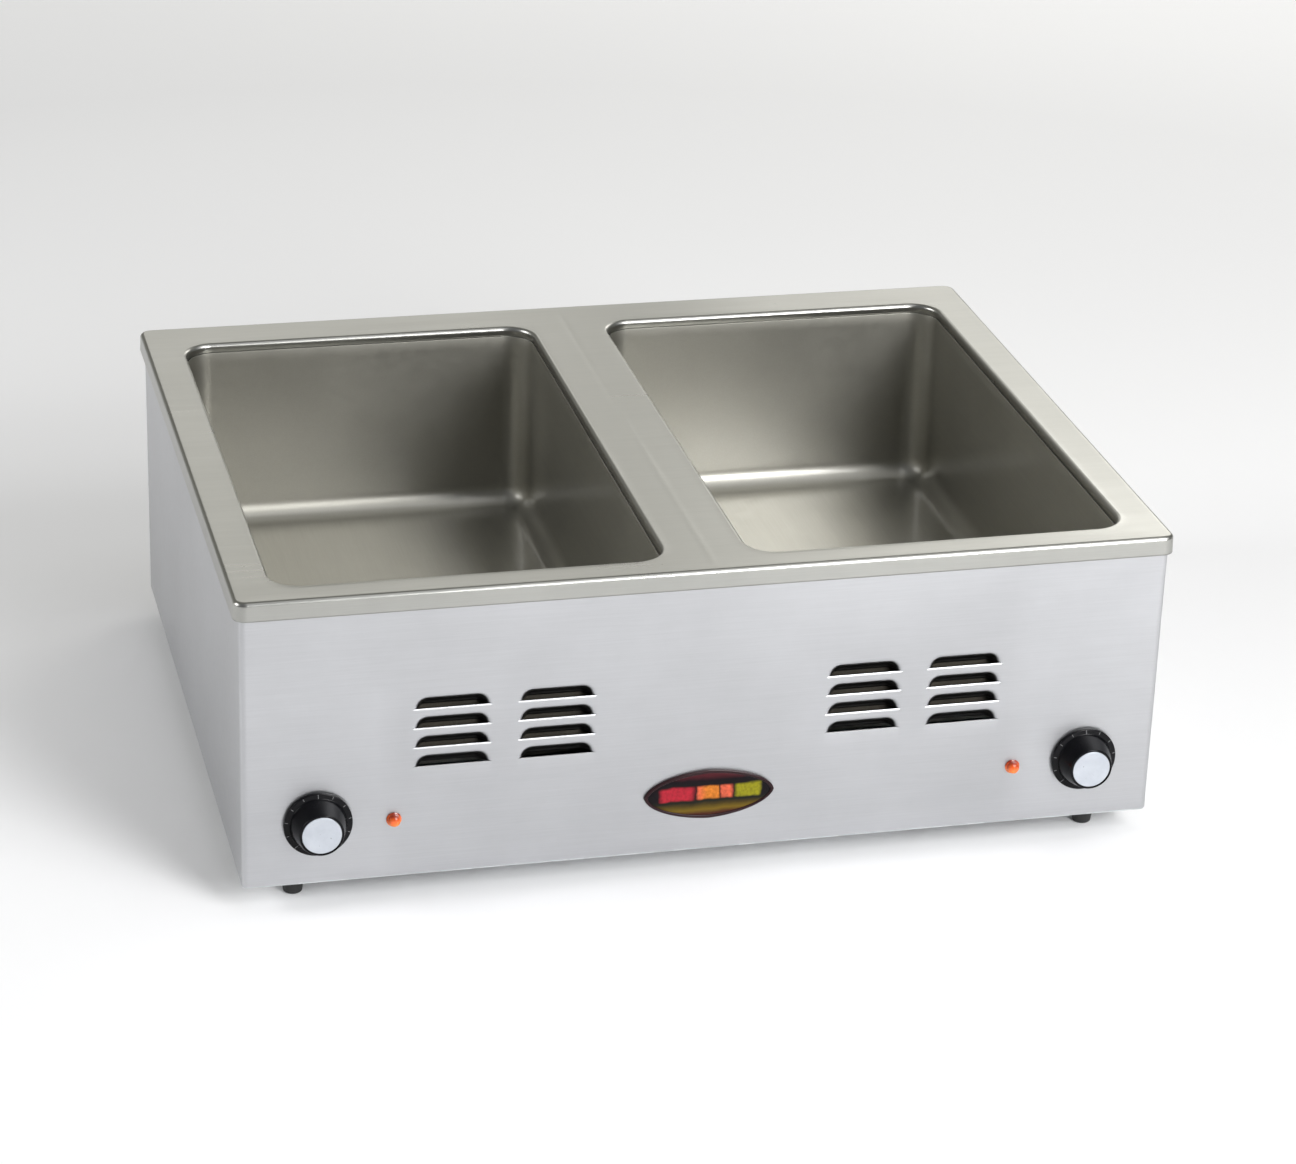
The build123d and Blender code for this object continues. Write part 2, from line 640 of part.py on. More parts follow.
for side, sign in sides:
    centre_x = sign * well_x
    studs = [(centre_x, well_y + y) for y in stud_offsets]

    with BuildPart() as element:
        with BuildLine() as run:
            Line((centre_x - leg_outer, well_y + terminal_y, element_z),
                 (centre_x - leg_outer, well_y + leg_back, element_z))
            ThreePointArc((centre_x - leg_outer, well_y + leg_back, element_z),
                          (centre_x - leg_outer + turn_r, well_y + leg_back + turn_r, element_z),
                          (centre_x - leg_inner, well_y + leg_back, element_z))
            Line((centre_x - leg_inner, well_y + leg_back, element_z),
                 (centre_x - leg_inner, well_y + leg_front, element_z))
            ThreePointArc((centre_x - leg_inner, well_y + leg_front, element_z),
                          (centre_x, well_y + leg_front - leg_inner, element_z),
                          (centre_x + leg_inner, well_y + leg_front, element_z))
            Line((centre_x + leg_inner, well_y + leg_front, element_z),
                 (centre_x + leg_inner, well_y + leg_back, element_z))
            ThreePointArc((centre_x + leg_inner, well_y + leg_back, element_z),
                          (centre_x + leg_inner + turn_r, well_y + leg_back + turn_r, element_z),
                          (centre_x + leg_outer, well_y + leg_back, element_z))
            Line((centre_x + leg_outer, well_y + leg_back, element_z),
                 (centre_x + leg_outer, well_y + terminal_y, element_z))
        with BuildSketch(Plane(origin=run.line @ 0, z_dir=run.line % 0)):
            Circle(element_r)
        sweep(path=run.line)
        # terminal pins
        with BuildSketch(across(centre_x, well_y + terminal_y, element_z)):
            with Locations((-leg_outer, 0), (leg_outer, 0)):
                Circle(pin_r)
        extrude(amount=pin_length)
    save(element, f"heating_element_{side}")

    with BuildPart() as heat_pan:
        with BuildSketch(Plane.XY.offset(pan_floor)):
            with Locations((centre_x, well_y + pan_y)):
                RectangleRounded(pan_w, pan_back - pan_front, pan_corner)
        extrude(amount=well_under - pan_floor)
        offset(amount=-sheet, openings=heat_pan.faces().sort_by(Axis.Z)[-1])
        with BuildSketch(Plane.XY.offset(pan_floor)):
            with Locations(*studs):
                Circle(stud_r + stud_clearance)
        extrude(amount=sheet, mode=Mode.SUBTRACT)
        with BuildSketch(across(centre_x, well_y + pan_front, element_z)):
            with Locations((-leg_outer, 0), (leg_outer, 0)):
                SlotOverall(*pan_slot, rotation=90)
        extrude(amount=-2 * sheet, mode=Mode.SUBTRACT)
    save(heat_pan, f"heat_pan_{side}")

    with BuildPart() as pad:
        with BuildSketch(Plane.XY.offset(pan_floor + sheet)):
            with Locations((centre_x, well_y + pan_y)):
                RectangleRounded(
                    pan_w - 2 * (sheet + pad_gap), pan_back - pan_front - 2 * (sheet + pad_gap), pad_corner
                )
            with Locations(*studs):
                Circle(pad_hole_r, mode=Mode.SUBTRACT)
        extrude(amount=pad_top - pan_floor - sheet)
    save(pad, f"insulation_pad_{side}")

    with BuildPart() as jacket_ring:
        with BuildSketch(Plane.XY.offset(well_floor + well_cove)):
            with Locations((centre_x, well_y)):
                RectangleRounded(
                    well_w + 2 * (sheet + jacket), well_d + 2 * (sheet + jacket), well_corner + sheet + jacket
                )
                RectangleRounded(
                    well_w + 2 * sheet, well_d + 2 * sheet, well_corner + sheet, mode=Mode.SUBTRACT
                )
        extrude(amount=deck_top - jacket_drop - well_floor - well_cove)
    save(jacket_ring, f"insulation_jacket_{side}")

all_studs = [(x, y + offset_y) for x, y in well_spots for offset_y in stud_offsets]

with BuildPart() as clamps:
    with BuildSketch(Plane.XY.offset(clamp_bottom)):
        with Locations(*all_studs):
            Rectangle(clamp_size[0], clamp_size[1])
            Circle(stud_r + stud_clearance, mode=Mode.SUBTRACT)
    extrude(amount=clamp_size[2])
save(clamps, "element_clamps")

# one nut under each clamp and one under the pan on every stud
with BuildPart() as stud_nuts:
    for nut_top in (clamp_bottom, pan_floor):
        extrude(nut_profile(all_studs, nut_top, stud_nut_flats, stud_r), amount=-stud_nut_h)
save(stud_nuts, "stud_nuts")

# ---------------------------------------------------------------- sensors under the wells
bulb_r = 3.0
bulb_half = 45.0
bulb_y = well_y - 200.0
bulb_z = well_under - bulb_r - heater_gap
capillary_r = 1.0
capillary_bend = 8.0
capillary_offset = 4.0      # tube beside the thermostat's axis
shield_y = front_y + 58.0
shield_top = 80.0
capillary_hole_z = 74.0
saddle = 1.0
saddle_w = 12.0
saddle_length = 26.0
saddle_fit = 0.1
limit_r = 8.0
limit_h = 9.0
limit_x = 72.0
limit_flange = (30.0, 9.0)
limit_flange_thick = 1.0
limit_pitch = 9.0
limit_blade = (0.8, 5.0)
blade_length = 7.0

for side, sign in sides:
    centre_x = sign * well_x
    bulb_end = centre_x + sign * bulb_half
    axis_x = sign * knob_x
    case_back = case_y + thermostat_depth

    # oil-filled bulb and the tube that carries its pressure to the thermostat
    with BuildPart() as capillary:
        with BuildSketch(Plane(origin=(bulb_end, bulb_y, bulb_z), z_dir=(-sign, 0, 0))):
            Circle(bulb_r)
        extrude(amount=2 * bulb_half)
        route = [
            (bulb_end, bulb_y, bulb_z),
            (bulb_end + sign * 30, bulb_y - 1, bulb_z - 5),
            (axis_x + sign * capillary_offset, bulb_y - 1, capillary_hole_z),
            (axis_x + sign * capillary_offset, case_back, capillary_hole_z),
        ]
        add(tube_along(route, capillary_r, capillary_bend))
    save(capillary, f"capillary_bulb_{side}")

    # disc thermostat that cuts the heater off if the well runs dry
    with BuildPart() as limit:
        with BuildSketch(Plane.XY.offset(well_under)):
            with Locations((centre_x - sign * limit_x, bulb_y)):
                Circle(limit_r)
        extrude(amount=-limit_h)
        with BuildSketch(Plane.XY.offset(well_under)):
            with Locations((centre_x - sign * limit_x, bulb_y)):
                SlotOverall(*limit_flange)
        extrude(amount=-limit_flange_thick)
        with BuildSketch(Plane.XY.offset(well_under - limit_h)):
            with Locations((centre_x - sign * limit_x, bulb_y)):
                with GridLocations(limit_pitch, limit_pitch, 2, 1):
                    Rectangle(*limit_blade)
        extrude(amount=-blade_length)
    save(limit, f"limit_thermostat_{side}")

# spring saddles that press the bulbs against the wells
bulb_spots = [(x, bulb_y) for x, _ in well_spots]

with BuildPart() as clips:
    for clip_x, clip_y in bulb_spots:
        with BuildSketch(Plane(origin=(clip_x - saddle_w / 2, clip_y, bulb_z), z_dir=(1, 0, 0))):
            Circle(bulb_r + saddle_fit + saddle)
        extrude(amount=saddle_w)
    with BuildSketch(Plane.XY.offset(well_under - saddle)):
        with Locations(*bulb_spots):
            Rectangle(saddle_w, saddle_length)
    extrude(amount=saddle)
    for clip_x, clip_y in bulb_spots:
        with BuildSketch(Plane(origin=(clip_x - saddle_w / 2, clip_y, bulb_z), z_dir=(1, 0, 0))):
            Circle(bulb_r + saddle_fit)
        extrude(amount=saddle_w, mode=Mode.SUBTRACT)
    with BuildSketch(Plane.XY.offset(well_under)):
        with Locations(*bulb_spots):
            Rectangle(2 * saddle_w, saddle_length)
    extrude(amount=2 * saddle, mode=Mode.SUBTRACT)
save(clips, "bulb_clips")

# ---------------------------------------------------------------- shield between heaters and controls
shield_half = body_w / 2 - lip - flange_gap
capillary_hole_x = knob_x + capillary_offset
loom_z = 36.0
grommet_r = 6.0
capillary_grommet_r = 3.5
grommet_lip = 1.2
groove_gap = 0.1            # grommet's groove clear of the hole's edge
wire_gap = 0.2
loom_grommet_r = 4.0

with BuildPart() as control_shield:
    with BuildSketch(Plane.XY.offset(plate_top)):
        with Locations((0, shield_y + sheet / 2)):
            Rectangle(2 * shield_half, sheet)
    extrude(amount=shield_top - plate_top)
    with BuildSketch(Plane.XY.offset(plate_top)):
        with Locations((0, shield_y + lip / 2)):
            Rectangle(2 * shield_half, lip)
    extrude(amount=sheet)
    with BuildSketch(across(0, shield_y, 0)):
        with Locations((-capillary_hole_x, capillary_hole_z), (capillary_hole_x, capillary_hole_z)):
            Circle(capillary_grommet_r)
        with Locations((0, loom_z)):
            Circle(grommet_r)
    extrude(amount=-sheet, mode=Mode.SUBTRACT)
save(control_shield, "control_shield")

with BuildPart() as grommets:
    for x, z, hole_r, wire_r in (
        (-capillary_hole_x, capillary_hole_z, capillary_grommet_r, capillary_r),
        (capillary_hole_x, capillary_hole_z, capillary_grommet_r, capillary_r),
        (0.0, loom_z, grommet_r, loom_grommet_r),
    ):
        with BuildSketch(across(x, shield_y - grommet_lip, z)):
            Circle(hole_r + grommet_lip)
        extrude(amount=-(sheet + 2 * grommet_lip))
        with BuildSketch(across(x, shield_y, z)):
            Circle(hole_r + 2 * grommet_lip)
            Circle(hole_r - groove_gap, mode=Mode.SUBTRACT)
        extrude(amount=-sheet, mode=Mode.SUBTRACT)
        with BuildSketch(across(x, shield_y - grommet_lip, z)):
            Circle(wire_r + wire_gap)
        extrude(amount=-(sheet + 2 * grommet_lip), mode=Mode.SUBTRACT)
save(grommets, "shield_grommets")

# ---------------------------------------------------------------- wiring
block_size = (60.0, 24.0, 18.0)
block_x = 215.0
block_y = 258.0
block_ways = 5
block_pitch = (11.0, 13.0)
block_round = 1.5
well_hole_r = 2.6           # screw wells of the terminal block
well_hole_depth = 8.0
terminal_r = 2.3
terminal_h = 5.0
earth_head_r = 4.5
earth_head_h = 3.0
earth_length = 18.0
loom_r = 3.5
loom_bend = 16.0
branch_r = 2.7
branch_bend = 7.0
lead_r = 1.6
lead_bend = 5.0
lamp_lead_r = 1.0
lamp_lead_bend = 4.0
wire_end_gap = 0.3          # wires end just short of the terminals they serve
branch_y = front_y + 38.0

with BuildPart() as terminal_block:
    with BuildSketch(Plane.XY.offset(plate_top)):
        with Locations((block_x, block_y)):
            RectangleRounded(block_size[0], block_size[1], block_round)
    extrude(amount=block_size[2])
    with BuildSketch(Plane.XY.offset(plate_top + block_size[2])):
        with Locations((block_x, block_y)):
            with GridLocations(*block_pitch, block_ways, 2):
                Circle(well_hole_r)
    extrude(amount=-well_hole_depth, mode=Mode.SUBTRACT)
save(terminal_block, "terminal_block")

with BuildPart() as terminal_screws:
    with BuildSketch(Plane.XY.offset(plate_top + block_size[2] - well_hole_depth)):
        with Locations((block_x, block_y)):
            with GridLocations(*block_pitch, block_ways, 2):
                Circle(terminal_r)
    extrude(amount=terminal_h)
save(terminal_screws, "terminal_screws")

with BuildPart() as earth_stud:
    with BuildSketch(Plane.XY.offset(foot_h)):
        with Locations(earth_spot):
            Circle(earth_head_r)
    extrude(amount=-earth_head_h)
    with BuildSketch(Plane.XY.offset(foot_h)):
        with Locations(earth_spot):
            Circle(earth_r)
    extrude(amount=earth_length)
save(earth_stud, "earth_stud")

with BuildPart() as main_loom:
    add(tube_along(
        [
            (block_x - block_size[0] / 2 - wire_end_gap, block_y, loom_z - 6),
            (block_x - block_size[0] / 2 - 20, block_y, loom_z - 6),
            (block_x - block_size[0] / 2 - 62, block_y - 17, loom_z),
            (40, block_y - 18, loom_z),
            (0, block_y - 60, loom_z),
            (0, shield_y - 20, loom_z),
        ],
        loom_r,
        loom_bend,
    ))
save(main_loom, "main_loom")

for side, sign in sides:
    axis_x = sign * knob_x
    with BuildPart() as branch:
        add(tube_along(
            [
                (sign * 5, branch_y, loom_z),
                (sign * 120, branch_y, loom_z - 4),
                (sign * (knob_x - 30), branch_y - 8, loom_z - 2),
                (axis_x, tab_y, tab_z - 18),
                (axis_x, tab_y, tab_z - spade_length - wire_end_gap),
            ],
            branch_r,
            branch_bend,
        ))
    save(branch, f"branch_loom_{side}")

    # leads from the thermostat over the shield to both ends of the heating element
    with BuildPart() as leads:
        for end, climb_x in ((-1, sign * 150), (1, sign * 262)):
            pin_x = sign * well_x + sign * end * leg_outer
            pin_end_y = well_y + terminal_y - pin_length
            add(tube_along(
                [
                    (pin_x, pin_end_y - wire_end_gap, element_z),
                    (pin_x, shield_y - 10, element_z - 0.8),
                    (climb_x, shield_y - 13, 62),
                    (climb_x + sign * 4, shield_y - 12, loom_z + 6),
                ],
                lead_r,
                lead_bend,
            ))
    save(leads, f"element_leads_{side}")

with BuildPart() as lamp_leads:
    lead_start = front_y + sheet + housing_length + tab_length + wire_end_gap
    for sign in (-1, 1):
        for drop in (-tab_offset, tab_offset):
            add(tube_along(
                [
                    (sign * lamp_x, lead_start, lamp_z + drop),
                    (sign * lamp_x, lead_start + 9 + drop, lamp_z + drop),
                    (sign * (lamp_x + 2), lead_start + 9 + drop, loom_z + 3),
                ],
                lamp_lead_r,
                lamp_lead_bend,
            ))
save(lamp_leads, "lamp_leads")

# ---------------------------------------------------------------- cord gland in the back panel
cord_r = 5.2
gland_hex = 25.0
gland_hex_h = 6.0
gland_thread = 9.0          # thread past the panel
cap_flats = 24.0
cap_hex_h = 8.0
cap_nose_r = 11.0
cap_nose_round = 4.0
locknut_flats = 26.0
locknut_h = 4.0


def facing_back(x, z, rearward=0.0):
    """Plane parallel to the back panel, its normal away from the unit."""
    return Plane(origin=(x, back_y + rearward, z), x_dir=(-1, 0, 0), z_dir=(0, 1, 0))


with BuildPart() as gland_body:
    with BuildSketch(facing_back(gland_x, gland_z)):
        RegularPolygon(gland_hex / 2, 6, major_radius=False)
    extrude(amount=gland_hex_h)
    with BuildSketch(facing_back(gland_x, gland_z)):
        Circle(gland_thread_r)
    extrude(amount=-(sheet + gland_thread))
    with BuildSketch(facing_back(gland_x, gland_z, gland_hex_h)):
        Circle(cord_r)
    extrude(amount=-(gland_hex_h + sheet + gland_thread), mode=Mode.SUBTRACT)
save(gland_body, "cord_gland_body")

with BuildPart() as gland_cap:
    with BuildSketch(facing_back(gland_x, gland_z, gland_hex_h)):
        RegularPolygon(cap_flats / 2, 6, major_radius=False)
    extrude(amount=cap_hex_h)
    with BuildSketch(facing_back(gland_x, gland_z, gland_hex_h + cap_hex_h)):
        Circle(cap_nose_r)
    extrude(amount=gland_reach - gland_hex_h - cap_hex_h)
    fillet(gland_cap.faces().sort_by(Axis.Y)[-1].edges(), radius=cap_nose_round)
    with BuildSketch(facing_back(gland_x, gland_z, gland_hex_h)):
        Circle(cord_r)
    extrude(amount=gland_reach, mode=Mode.SUBTRACT)
save(gland_cap, "cord_gland_cap")

with BuildPart() as gland_locknut:
    with BuildSketch(facing_back(gland_x, gland_z, -sheet)):
        RegularPolygon(locknut_flats / 2, 6, major_radius=False)
        Circle(gland_thread_r, mode=Mode.SUBTRACT)
    extrude(amount=-locknut_h)
save(gland_locknut, "cord_gland_locknut")
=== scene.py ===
import json
import math

import bmesh
import bpy
from mathutils import Matrix, Vector, noise


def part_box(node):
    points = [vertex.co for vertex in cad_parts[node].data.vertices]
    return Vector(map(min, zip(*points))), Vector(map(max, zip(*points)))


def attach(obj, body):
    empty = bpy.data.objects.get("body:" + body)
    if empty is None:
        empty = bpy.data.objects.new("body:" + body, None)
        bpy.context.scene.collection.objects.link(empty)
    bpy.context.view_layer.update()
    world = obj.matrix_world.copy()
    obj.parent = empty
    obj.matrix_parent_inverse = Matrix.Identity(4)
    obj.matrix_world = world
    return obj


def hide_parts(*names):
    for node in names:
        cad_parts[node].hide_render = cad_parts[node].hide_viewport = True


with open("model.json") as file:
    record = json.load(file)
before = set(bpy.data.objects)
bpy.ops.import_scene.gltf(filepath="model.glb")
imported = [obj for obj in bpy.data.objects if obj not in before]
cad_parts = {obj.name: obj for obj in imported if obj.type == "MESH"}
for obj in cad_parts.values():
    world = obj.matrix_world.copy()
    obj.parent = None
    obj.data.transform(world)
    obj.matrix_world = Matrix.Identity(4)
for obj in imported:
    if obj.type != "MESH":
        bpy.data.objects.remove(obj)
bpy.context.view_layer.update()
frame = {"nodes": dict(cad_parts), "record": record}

scene = bpy.context.scene
scene.view_settings.view_transform = "Standard"

# Lengths are metres. MM turns a size in millimetres into metres.
MM = 0.001
SHEET = 1.2 * MM            # thickness of every folded panel

deck_lo, deck_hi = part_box("deck")
wrap_lo, wrap_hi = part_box("body_wrap")
SIDES = ("left", "right")


# ------------------------------------------------------------------ mesh helpers
def add_object(name, verts, faces, material, smooth=True):
    """Mesh object from plain lists, linked to the scene, with one material."""
    mesh = bpy.data.meshes.new(name)
    mesh.from_pydata([tuple(v) for v in verts], [], faces)
    mesh.validate()
    mesh.update()
    for polygon in mesh.polygons:
        polygon.use_smooth = smooth
    mesh.materials.append(material)
    obj = bpy.data.objects.new(name, mesh)
    scene.collection.objects.link(obj)
    return obj


def place(obj, body, slot, *nodes):
    """Tie a finished piece to its body and hide the CAD nodes it stands for. slot is not used."""
    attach(obj, body)
    if nodes:
        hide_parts(*nodes)
    return obj


def thicken(obj):
    """Give a sheet its thickness behind the modelled face, then even out its shading."""
    solid = obj.modifiers.new("sheet_thickness", "SOLIDIFY")
    solid.thickness = SHEET
    solid.offset = -1.0
    solid.use_even_offset = True
    even_shading(obj)


def even_shading(obj):
    """Weight the shading normals by face area, so that flat parts stay flat beside narrow bends."""
    weighted = obj.modifiers.new("even_shading", "WEIGHTED_NORMAL")
    weighted.weight = 100
    weighted.keep_sharp = True


def bridge(rows, closed):
    """Quads between successive rows of equal length, over one flat list of vertices."""
    count = len(rows[0])
    verts = [point for row in rows for point in row]
    span = count if closed else count - 1
    faces = []
    for r in range(len(rows) - 1):
        for c in range(span):
            a = r * count + c
            b = r * count + (c + 1) % count
            faces.append((a, b, b + count, a + count))
    return verts, faces


def quarter_angles(steps):
    """Angles from 0 to a quarter turn, both ends included."""
    return [math.pi / 2 * k / steps for k in range(steps + 1)]


def steps_between(start, end, count):
    """Evenly spaced values from start up to end, which is left out."""
    return [start + (end - start) * k / count for k in range(count)]


def turned(profile, segments):
    """Rows of points for (radius, distance) pairs turned about the Y axis, distance towards -Y."""
    rows = []
    for radius, distance in profile:
        row = []
        for k in range(segments):
            angle = 2 * math.pi * k / segments
            row.append((radius * math.cos(angle), -distance, radius * math.sin(angle)))
        rows.append(row)
    return rows


def rounded(profile, radius, steps=5):
    """Profile with each inner corner replaced by a short curve about radius long on each side."""
    most = 0.45                 # share of an edge that one curve may take, so that two never meet
    points = [Vector(p) for p in profile]
    result = [points[0]]
    for before, corner, after in zip(points, points[1:], points[2:]):
        to_before = before - corner
        to_after = after - corner
        reach = min(radius, to_before.length * most, to_after.length * most)
        start = corner + to_before.normalized() * reach
        end = corner + to_after.normalized() * reach
        for k in range(steps + 1):
            t = k / steps
            result.append(start * (1 - t) ** 2 + corner * (2 * t * (1 - t)) + end * t ** 2)
    result.append(points[-1])
    return [tuple(p) for p in result]


def ripple(x, y, z, scale, seed):
    """Smooth value from 0 to 1 that drifts over the given length."""
    return 0.5 + 0.5 * noise.noise(Vector((x, y, z)) / scale + Vector((seed, seed, seed)))


# ------------------------------------------------------------------ materials
# Places of the Mix node's colour sockets, whose names its other modes share
MIX_FIRST, MIX_SECOND, MIX_RESULT = 6, 7, 2


class Shader:
    """Principled material with small helpers for its procedural inputs."""

    def __init__(self, name, **settings):
        self.material = bpy.data.materials.new(name)
        self.material.use_nodes = True
        self.tree = self.material.node_tree
        self.bsdf = self.tree.nodes["Principled BSDF"]
        for key, value in settings.items():
            self.bsdf.inputs[key.replace("_", " ").title().replace("Ior", "IOR")].default_value = value
        self.coords = self.tree.nodes.new("ShaderNodeTexCoord")

    def node(self, kind, **settings):
        item = self.tree.nodes.new(kind)
        for key, value in settings.items():
            if hasattr(item, key):
                setattr(item, key, value)
            else:
                item.inputs[key.replace("_", " ").title()].default_value = value
        return item

    def link(self, source, target):
        self.tree.links.new(source, target)

    def mapped(self, stretch):
        """Object coordinates scaled by stretch, so that patterns run along the least scaled axis."""
        mapping = self.node("ShaderNodeMapping")
        mapping.inputs["Scale"].default_value = stretch
        self.link(self.coords.outputs["Object"], mapping.inputs["Vector"])
        return mapping.outputs["Vector"]

    def noise(self, stretch, detail=4.0, roughness=0.55):
        texture = self.node("ShaderNodeTexNoise", detail=detail, roughness=roughness)
        texture.inputs["Scale"].default_value = 1.0
        self.link(self.mapped(stretch), texture.inputs["Vector"])
        return texture.outputs["Fac"]

    def ranged(self, value, low, high, from_low=0.25, from_high=0.75):
        """Map the useful part of a texture's range to low..high."""
        item = self.node("ShaderNodeMapRange")
        item.inputs["From Min"].default_value = from_low
        item.inputs["From Max"].default_value = from_high
        item.inputs["To Min"].default_value = low
        item.inputs["To Max"].default_value = high
        self.link(value, item.inputs["Value"])
        return item.outputs["Result"]

    def ramp(self, value, stops):
        """Colour from (position, colour) stops."""
        item = self.node("ShaderNodeValToRGB")
        ramp = item.color_ramp
        while len(ramp.elements) < len(stops):
            ramp.elements.new(0.5)
        for element, (position, colour) in zip(ramp.elements, stops):
            element.position = position
            element.color = (*colour, 1.0)
        self.link(value, item.inputs["Fac"])
        return item.outputs["Color"]

    def bump(self, height, distance, under=None):
        """Bump normal of the given depth, laid over another normal where one is given."""
        item = self.node("ShaderNodeBump")
        item.inputs["Strength"].default_value = 1.0
        item.inputs["Distance"].default_value = distance
        self.link(height, item.inputs["Height"])
        if under is not None:
            self.link(under, item.inputs["Normal"])
        return item.outputs["Normal"]


def stainless(name, grain, tone, roughness, scratch=0.0016, wave=0.35, glaze=0.0):
    """Satin stainless sheet. grain is the axis along which it was brushed; depths are millimetres.

    glaze is the share of a second, sharper lobe, which gives tight curves such as coves a narrow highlight.
    """
    shader = Shader(
        name, metallic=1.0, base_color=(*tone, 1.0), roughness=roughness,
        coat_weight=glaze, coat_roughness=0.16,
    )
    fine = [1100.0, 1100.0, 1100.0]
    fine[grain] = 22.0
    coarse = [150.0, 150.0, 150.0]
    coarse[grain] = 5.0
    streaks = shader.noise(fine, detail=2.0)
    bands = shader.noise(coarse, detail=3.0)
    smudges = shader.noise((8.0, 8.0, 8.0), detail=5.0, roughness=0.6)
    mix = shader.node("ShaderNodeMath", operation="ADD")
    shader.link(shader.ranged(bands, -0.02, 0.025), mix.inputs[0])
    shader.link(shader.ranged(smudges, roughness - 0.035, roughness + 0.04), mix.inputs[1])
    shader.link(mix.outputs[0], shader.bsdf.inputs["Roughness"])
    tinted = shader.node("ShaderNodeMath", operation="ADD")
    shader.link(shader.ranged(streaks, -0.12, 0.12), tinted.inputs[0])
    shader.link(smudges, tinted.inputs[1])
    dark = tuple(c * 0.95 for c in tone)
    light = tuple(min(1.0, c * 1.05) for c in tone)
    shader.link(shader.ramp(tinted.outputs[0], [(0.3, dark), (0.7, light)]), shader.bsdf.inputs["Base Color"])
    waves = shader.noise((6.0, 6.0, 6.0), detail=1.0)
    wave_normal = shader.bump(waves, wave * MM)
    shader.link(shader.bump(streaks, scratch * MM, under=wave_normal), shader.bsdf.inputs["Normal"])
    return shader


def painted_louvre_shade(shader, front, shade_colour):
    """Painted shade: darken the louvre insides with depth behind the front face. The dark colour is painted
    shade, not a coating.
    """
    full_depth = 2.5 * MM       # behind the front face, where the painted shade is complete
    fade_from, fade_to = 0.24, 0.26     # distance from the middle, past the louvres, where the painted shade ends
    split = shader.node("ShaderNodeSeparateXYZ")
    shader.link(shader.coords.outputs["Object"], split.inputs[0])
    depth = shader.ranged(split.outputs["Y"], 0.0, 1.0, from_low=front, from_high=front + full_depth)
    sides = shader.node("ShaderNodeMath", operation="ABSOLUTE")
    shader.link(split.outputs["X"], sides.inputs[0])
    inboard = shader.ranged(sides.outputs[0], 1.0, 0.0, from_low=fade_from, from_high=fade_to)
    amount = shader.node("ShaderNodeMath", operation="MULTIPLY")
    shader.link(depth, amount.inputs[0])
    shader.link(inboard, amount.inputs[1])
    mix = shader.node("ShaderNodeMix", data_type="RGBA")
    unshaded = shader.bsdf.inputs["Base Color"].links[0].from_socket
    shader.link(amount.outputs[0], mix.inputs["Factor"])
    shader.link(unshaded, mix.inputs[MIX_FIRST])
    mix.inputs[MIX_SECOND].default_value = (*shade_colour, 1.0)
    shader.link(mix.outputs[MIX_RESULT], shader.bsdf.inputs["Base Color"])


def speckled_metal(name, tone, roughness, grain=60.0, contrast=0.12):
    """Galvanised or plated sheet with a soft crystal pattern."""
    shader = Shader(name, metallic=1.0, base_color=(*tone, 1.0), roughness=roughness)
    cells = shader.node("ShaderNodeTexVoronoi")
    cells.inputs["Scale"].default_value = 1.0
    shader.link(shader.mapped((grain, grain, grain)), cells.inputs["Vector"])
    grey = shader.node("ShaderNodeRGBToBW")
    shader.link(cells.outputs["Color"], grey.inputs["Color"])
    dark = tuple(c * (1 - contrast) for c in tone)
    light = tuple(min(1.0, c * (1 + contrast)) for c in tone)
    shader.link(shader.ramp(grey.outputs[0], [(0.2, dark), (0.8, light)]), shader.bsdf.inputs["Base Color"])
    uneven = shader.ranged(grey.outputs[0], roughness - 0.08, roughness + 0.1)
    shader.link(uneven, shader.bsdf.inputs["Roughness"])
    fine = shader.noise((400.0, 400.0, 400.0))
    shader.link(shader.bump(fine, 0.01 * MM), shader.bsdf.inputs["Normal"])
    return shader.material


def moulded(name, tone, roughness, gloss_coat=0.0, grain=700.0, depth=0.008, spread=0.15, shine=0.5):
    """Moulded plastic or rubber with fine surface grain and slight tone drift."""
    shader = Shader(
        name, base_color=(*tone, 1.0), roughness=roughness, coat_weight=gloss_coat, coat_roughness=0.08,
        specular_ior_level=shine,
    )
    drift = shader.noise((40.0, 40.0, 40.0), detail=4.0)
    dark = tuple(c * (1 - spread) for c in tone)
    light = tuple(min(1.0, c * (1 + spread) + 0.002) for c in tone)
    shader.link(shader.ramp(drift, [(0.3, dark), (0.7, light)]), shader.bsdf.inputs["Base Color"])
    shader.link(shader.ranged(drift, roughness - 0.04, roughness + 0.05), shader.bsdf.inputs["Roughness"])
    fine = shader.noise((grain, grain, grain), detail=3.0)
    shader.link(shader.bump(fine, depth * MM), shader.bsdf.inputs["Normal"])
    return shader.material


# One stainless steel in copies of different tone: the deck and the wells are darker and warmer than the
# panels, painted shade and painted reflection of the warm surround in their colour
deck_steel = stainless("deck_steel", 0, (0.385, 0.385, 0.364), 0.30).material
panel_finish = stainless("panel_steel", 0, (0.505, 0.51, 0.526), 0.40)
